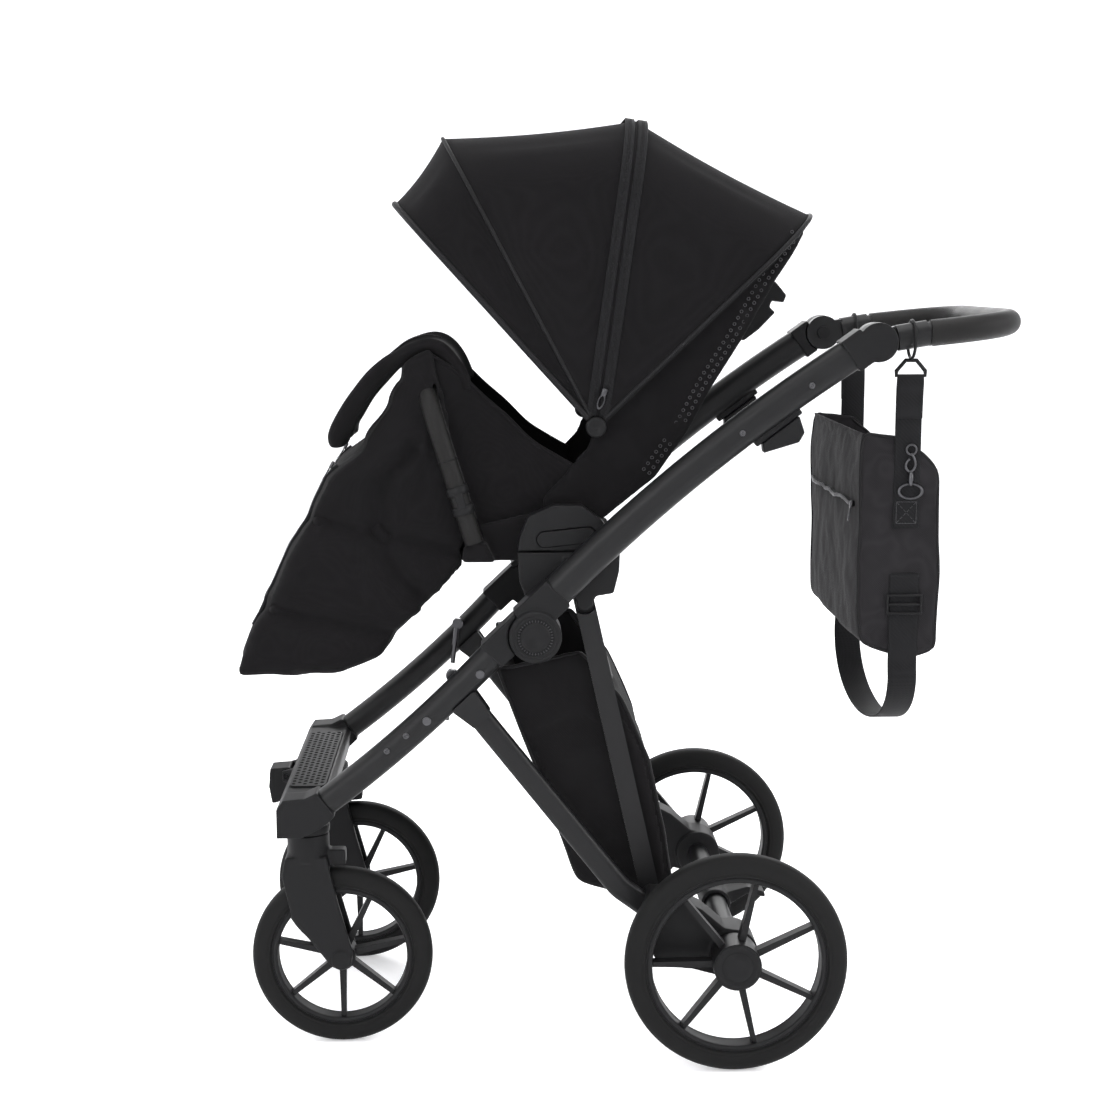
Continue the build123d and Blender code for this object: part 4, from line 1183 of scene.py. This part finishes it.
def buildSwivelHook(side, sign, y):
    x = sign * 0.1945
    pieces = []
    eye = ringShape("eye", 0.0065, 0.0013, 18)
    eye.data.transform(Matrix.Rotation(math.pi / 2, 4, "Y"))
    eye.data.transform(Matrix.Translation((x, y + 0.004, 0.802)))
    eye.data.materials.append(materials["gunmetal"])
    pieces.append(eye)
    hook = [(x, y + 0.004, 0.797), (x, y + 0.009, 0.790), (x, y + 0.010, 0.780), (x, y + 0.004, 0.772),
            (x, y - 0.003, 0.777),
            (x, y - 0.003, 0.786), (x, y + 0.002, 0.790)]
    pieces.append(curvePiece("hookWire", [Vector(p) for p in hook], 0.0016, "gunmetal", sides=10))
    stem = [(0, 0), (0, 0.0030), (0.010, 0.0036), (0.013, 0.0026), (0.018, 0.0026), (0.018, 0)]
    barrel = lathe("barrel", (0, 0, 0), stem, "gunmetal", 1, 20)
    barrel.data.transform(Matrix.Rotation(math.pi / 2, 4, "Y"))
    barrel.data.transform(Matrix.Translation((x, y + 0.004, 0.773)))
    pieces.append(barrel)
    loop = ringShape("loop", 0.0095, 0.0013, 20)
    loop.data.transform(Matrix.Diagonal((1, 1.6, 1, 1)))
    loop.data.transform(Matrix.Rotation(math.pi / 2, 4, "Y"))
    loop.data.transform(Matrix.Translation((x, y + 0.004, 0.748)))
    loop.data.materials.append(materials["gunmetal"])
    pieces.append(loop)
    whole = joined(f"bag_{side}_swivel_hook", pieces)
    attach(whole, "bag")
    # the slide buckle: a frame with a middle bar
    frameLine = [(x, y - 0.022, 0.588), (x, y + 0.022, 0.588), (x, y + 0.022, 0.612), (x, y - 0.022, 0.612)]
    slide = curvePiece("slideFrame", [Vector(p) for p in frameLine], 0.0024, "blackPlastic", closed=True,
                       smooth=False, sides=8)
    bar = curvePiece("slideBar", [Vector((x, y - 0.022, 0.600)), Vector((x, y + 0.022, 0.600))], 0.0022,
                     "blackPlastic",
                     smooth=False, sides=8)
    buckle = joined(f"bag_{side}_slide_buckle", [slide, bar])
    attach(buckle, "bag")


# wheels: smooth foam tyres with fine rings, and turned caps on the hubs
wheels = {
    "rear": {"joint": "rear_wheel_spin", "radius": 0.145, "seat": 0.118, "half": 0.0170, "cap": 0.030,
             "face": 0.0222},
    "front": {"joint": "front_wheel_spin", "radius": 0.121, "seat": 0.095, "half": 0.0150, "cap": 0.0135,
              "face": 0.0166},
}


def tyreProfile(radius, seat, half):
    # the outer skin from one rim edge over the tread to the other, then back along the seat
    side = []
    for k in range(13):
        a = math.pi / 2 * k / 12
        side.append((half * math.cos(a) ** 0.75 if k < 12 else 0.0,
                     seat + 0.009 + (radius - seat - 0.009) * math.sin(a) ** 0.8))
    rings = [(half - 0.0035, seat), (half - 0.0006, seat + 0.0015), (half, seat + 0.0035),
             (half - 0.0009, seat + 0.0045),
             (half - 0.0001, seat + 0.0058), (half, seat + 0.0078)]
    left = rings + side
    right = [(-x, r) for x, r in reversed(left[:-1])]
    return left + right


def buildWheels():
    for place, size in wheels.items():
        for side, sign in sides.items():
            centre = pivotOf(f"{side}_{size['joint']}")
            profile = tyreProfile(size["radius"] - 0.0002, size["seat"], size["half"])
            tyre = lathe(f"{side}_{place}_tyre_skin", centre, profile + [profile[0]], "tyreFoam", sign, 128)
            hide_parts(f"{side}_{place}_tyre")
            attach(tyre, f"{side}_{place}_wheel")
            face, cap = size["face"], size["cap"]
            profile = [(face - 0.004, 0), (face - 0.004, cap), (face + 0.0004, cap),
                       (face + 0.0014, cap - 0.0012),
                       (face + 0.0014, cap * 0.74), (face + 0.0004, cap * 0.70), (face + 0.0004, cap * 0.64),
                       (face + 0.0020, cap * 0.60), (face + 0.0026, cap * 0.30), (face + 0.0026, 0)]
            disc = lathe(f"{side}_{place}_hub_cap", centre, profile, "blackPlastic", sign, 64)
            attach(disc, f"{side}_{place}_wheel")
            # the rim's rounded lip, inside and outside
            lip = size["seat"] - 0.0075
            for face, end in ((1, "outer"), (-1, "inner")):
                edge = size["half"] - 0.0042
                ring = lathe(f"{side}_{place}_{end}_lip", centre, [
                    (face * edge * 0.92, lip - 0.0012), (face * (edge + 0.0008), lip),
                    (face * (edge + 0.0016), lip + 0.0025),
                    (face * (edge + 0.0012), lip + 0.0055), (face * edge * 0.92, lip + 0.0068),
                    (face * edge * 0.92, lip - 0.0012)],
                    "rimPlastic", sign, 96)
                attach(ring, f"{side}_{place}_wheel")
    print("wheels made")


# trim of the frame: hub caps, step pad holes, screws, stitches
def screwHead(name, radius):
    # a domed head with a six-sided recess
    points = []
    faces = []
    rings = [(radius, 0.0, 24), (radius * 0.95, radius * 0.28, 24), (radius * 0.62, radius * 0.42, 24),
             (radius * 0.5, radius * 0.42, 6),
             (radius * 0.5, radius * 0.08, 6), (0.0, radius * 0.08, 6)]
    for r, z, corners in rings:
        for k in range(24):
            a = 2 * math.pi * k / 24
            reach = r
            if corners == 6:
                turn = (a % (math.pi / 3)) - math.pi / 6
                reach = r * math.cos(math.pi / 6) / math.cos(turn)
            points.append((reach * math.cos(a), reach * math.sin(a), z))
    for i in range(len(rings) - 1):
        for k in range(24):
            j = (k + 1) % 24
            faces.append((i * 24 + k, i * 24 + j, (i + 1) * 24 + j, (i + 1) * 24 + k))
    faces.append(tuple(range(23, -1, -1)))
    return outward(meshPiece(name, points, faces))


def buildFrameTrim():
    hub = pivotOf("fold")
    for side, sign in sides.items():
        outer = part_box(f"{side}_fold_hub")[1].x if sign > 0 else -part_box(f"{side}_fold_hub")[0].x
        centre = Vector((0, hub.y, hub.z))
        face = outer
        profile = [(face - 0.003, 0), (face - 0.003, 0.0272), (face + 0.0004, 0.0272),
                   (face + 0.0010, 0.0262), (face + 0.0010, 0.0236),
                   (face - 0.0006, 0.0228), (face - 0.0006, 0.0200), (face + 0.0022, 0.0190),
                   (face + 0.0032, 0.0165),
                   (face + 0.0034, 0.0120), (face + 0.0026, 0.0112), (face + 0.0026, 0)]
        cap = lathe(f"{side}_hub_disc", centre, profile, "blackPlastic", sign, 80)
        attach(cap, "upper_frame")
        tick = smallBox("tick", 0.0030, 0.0010, 0.0012)
        spots = []
        for k in range(36):
            a = 2 * math.pi * k / 36
            way = Vector((0, math.cos(a), math.sin(a)))
            spots.append((centre + way * 0.0214 + Vector((sign * face, 0, 0)), way, (sign, 0, 0)))
        ticks = repeated(f"{side}_hub_ticks", tick, spots, "gunmetal")
        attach(ticks, "upper_frame")
    # step pad: rows of round holes with a soft rim; each hole is a flat disc in a near-black finish, painted shade
    # standing in for the hole's depth
    low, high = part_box("step_pad")
    rows, columns = 6, 22
    spots = []
    for r in range(rows):
        for c in range(columns):
            x = low.x + (high.x - low.x) * (c + 0.5 + (0.25 if r % 2 else -0.25)) / columns
            y = low.y + (high.y - low.y) * (r + 0.7) / (rows + 0.4)
            if abs(x) < high.x - 0.008:
                spots.append((Vector((x, y, high.z + 0.0001)), (1, 0, 0), (0, 0, 1)))
    holes = repeated("step_pad_holes", dimple("dimple", 0.0024), spots, "paintedHoleShade")
    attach(holes, "chassis")
    rims = repeated("step_pad_rims", ringShape("rim", 0.0026, 0.0004, 12), spots, "blackPlastic")
    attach(rims, "chassis")
    # screws on the outer faces
    for body, spotsOf in (("upper_frame", [(0.125, 0.826), (0.212, 0.886)]),
                          ("chassis", [(-0.330, 0.4165), (-0.305, 0.4365)])):
        spots = []
        for y, z in spotsOf:
            for sign in (1, -1):
                spots.append((Vector((sign * 0.2228, y + shiftY, z)), (0, 0.7, 0.7), (sign, 0, 0)))
        heads = repeated(f"{body}_screws", screwHead("head", 0.0040), spots, "gunmetal")
        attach(heads, body)
    print("frame trim made")


def dimple(name, radius):
    points = [(radius * math.cos(2 * math.pi * k / 12), radius * math.sin(2 * math.pi * k / 12), 0)
              for k in range(12)]
    return meshPiece(name, points + [(0, 0, 0.0002)], [(k, (k + 1) % 12, 12) for k in range(12)])


grips = {"stitch": (0.0026, 0.0006, 0.0005), "spacing": 0.0042, "seam": 0.0007, "handleX": 0.196,
         "handleCorner": 0.085,
         "bumperX": 0.1715, "bumperCorner": 0.075}


def barLine(foot, top, half, corner):
    # a U-shaped bar's line from one foot over the top to the other, with round corners
    foot, top = Vector(foot), Vector(top)
    way = (top - foot).normalized()
    reach = (top - foot).length
    line = [(half, reach * k / 12 * (1 - corner / reach)) for k in range(12)]
    for k in range(17):
        a = math.pi / 2 * k / 16
        line.append((half - corner + corner * math.cos(a), reach - corner + corner * math.sin(a)))
    line += [(x, reach) for x in (half - corner - 0.02, 0.04, 0.02)]
    whole = line + [(0.0, reach)] + [(-x, r) for x, r in reversed(line)]
    return [Vector((x, 0, 0)) + foot + way * r for x, r in whole]


def buildGripTrim():
    # a closed seam with stitches along the underside of the handle's and the bumper's covers
    handleAt = pivotOf("handle_tilt")
    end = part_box("handle_grip")[1].y - 0.0165
    bars = [("handle", "handle", (0, handleAt.y + 0.075, handleAt.z + 0.012), (0, end, handleAt.z + 0.024),
             grips["handleX"],
             grips["handleCorner"], "handle_grip", Vector((0, 0, -0.03))),
            ("bumper", "bumper", (0, -0.226 + shiftY, 0.712), (0, -0.282 + shiftY, 0.892), grips["bumperX"],
             grips["bumperCorner"], "bumper_bar", Vector((0, 0.03, 0.004)))]
    for name, body, foot, top, half, corner, node, aside in bars:
        line = barLine(foot, top, half, corner)
        seamLine = laidOn(nodes[node], [p + aside for p in line], 0.0001)
        seam = curvePiece(f"{name}_cover_seam", seamLine, grips["seam"], "leatherette", sides=8)
        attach(seam, body)
        for index, sideways in enumerate((-1, 1)):
            shifted = []
            for before, here, after in zip(seamLine, seamLine[1:], seamLine[2:]):
                across = (after - before).cross(aside).normalized() * 0.003 * sideways
                shifted.append(here + across)
            shifted = laidOn(nodes[node], shifted, 0.0001)
            stitches = repeated(f"{name}_stitches_{index}", smallBox("stitch", *grips["stitch"]),
                                spotsAlong(shifted, grips["spacing"], lambda here, a=aside: a), "eyeletRing")
            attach(stitches, body)
    # the bumper bar's cover ends in a ring, with a catch below it
    foot = Vector((0, -0.216 + shiftY, 0.680))
    way = (Vector((0, -0.282 + shiftY, 0.892)) - foot).normalized()
    for side, sign in sides.items():
        base = foot + Vector((sign * grips["bumperX"], 0, 0))
        rings = [(0.112, 0.0008), (0.066, 0.0022), (0.040, 0.0022)]
        for index, (along, proud) in enumerate(rings):
            radius = 0.0125
            length = 0.002 if index == 0 else 0.012
            profile = [(0, radius - 0.002), (0, radius + proud * 0.5), (0.0008, radius + proud),
                       (length - 0.0008, radius + proud),
                       (length, radius + proud * 0.5), (length, radius - 0.002), (0, radius - 0.002)]
            ring = lathe(f"bumper_{side}_collar_{index}", (0, 0, 0), profile, "blackPlastic", 1, 40)
            turn = Vector((1, 0, 0)).rotation_difference(way).to_matrix().to_4x4()
            turn.translation = base + way * along
            ring.data.transform(turn)
            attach(ring, "bumper")
        button = smallBox("catch", 0.020, 0.012, 0.004)
        modify(button, "BEVEL", width=0.0015, segments=3)
        settle(button)
        turn = Matrix((way, way.cross(Vector((sign, 0, 0))), Vector((sign, 0, 0)))).transposed().to_4x4()
        turn.translation = base + way * 0.059 + Vector((sign * 0.0128, 0, 0))
        button.data.transform(turn)
        button.data.materials.append(materials["blackPlastic"])
        catch = joined(f"bumper_{side}_catch", [button])
        outward(catch)
        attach(catch, "bumper")
    # the guide that each fold trigger slides in, under the upper tube
    slope = math.radians(37)
    along = Vector((0, math.cos(slope), math.sin(slope)))
    up = Vector((0, -math.sin(slope), math.cos(slope)))
    for side, sign in sides.items():
        guide = smallBox("guide", 0.072, 0.015, 0.0100)
        modify(guide, "BEVEL", width=0.002, segments=3)
        settle(guide)
        turn = Matrix((along, up.cross(along), up)).transposed().to_4x4()
        turn.translation = Vector((sign * 0.205, 0.152 + shiftY, 0.812)) + along * 0.028 + up * 0.0053
        guide.data.transform(turn)
        guide.data.materials.append(materials["blackPlastic"])
        rail = joined(f"{side}_trigger_guide", [guide])
        outward(rail)
        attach(rail, "upper_frame")
    print("grips made")


# build order
buildMoulded()
buildBackShell()
buildSeatPad()
buildBackPad()
buildCanopy()
buildFootCover()
buildBasket()
buildBag()
buildWheels()
buildFrameTrim()
buildGripTrim()
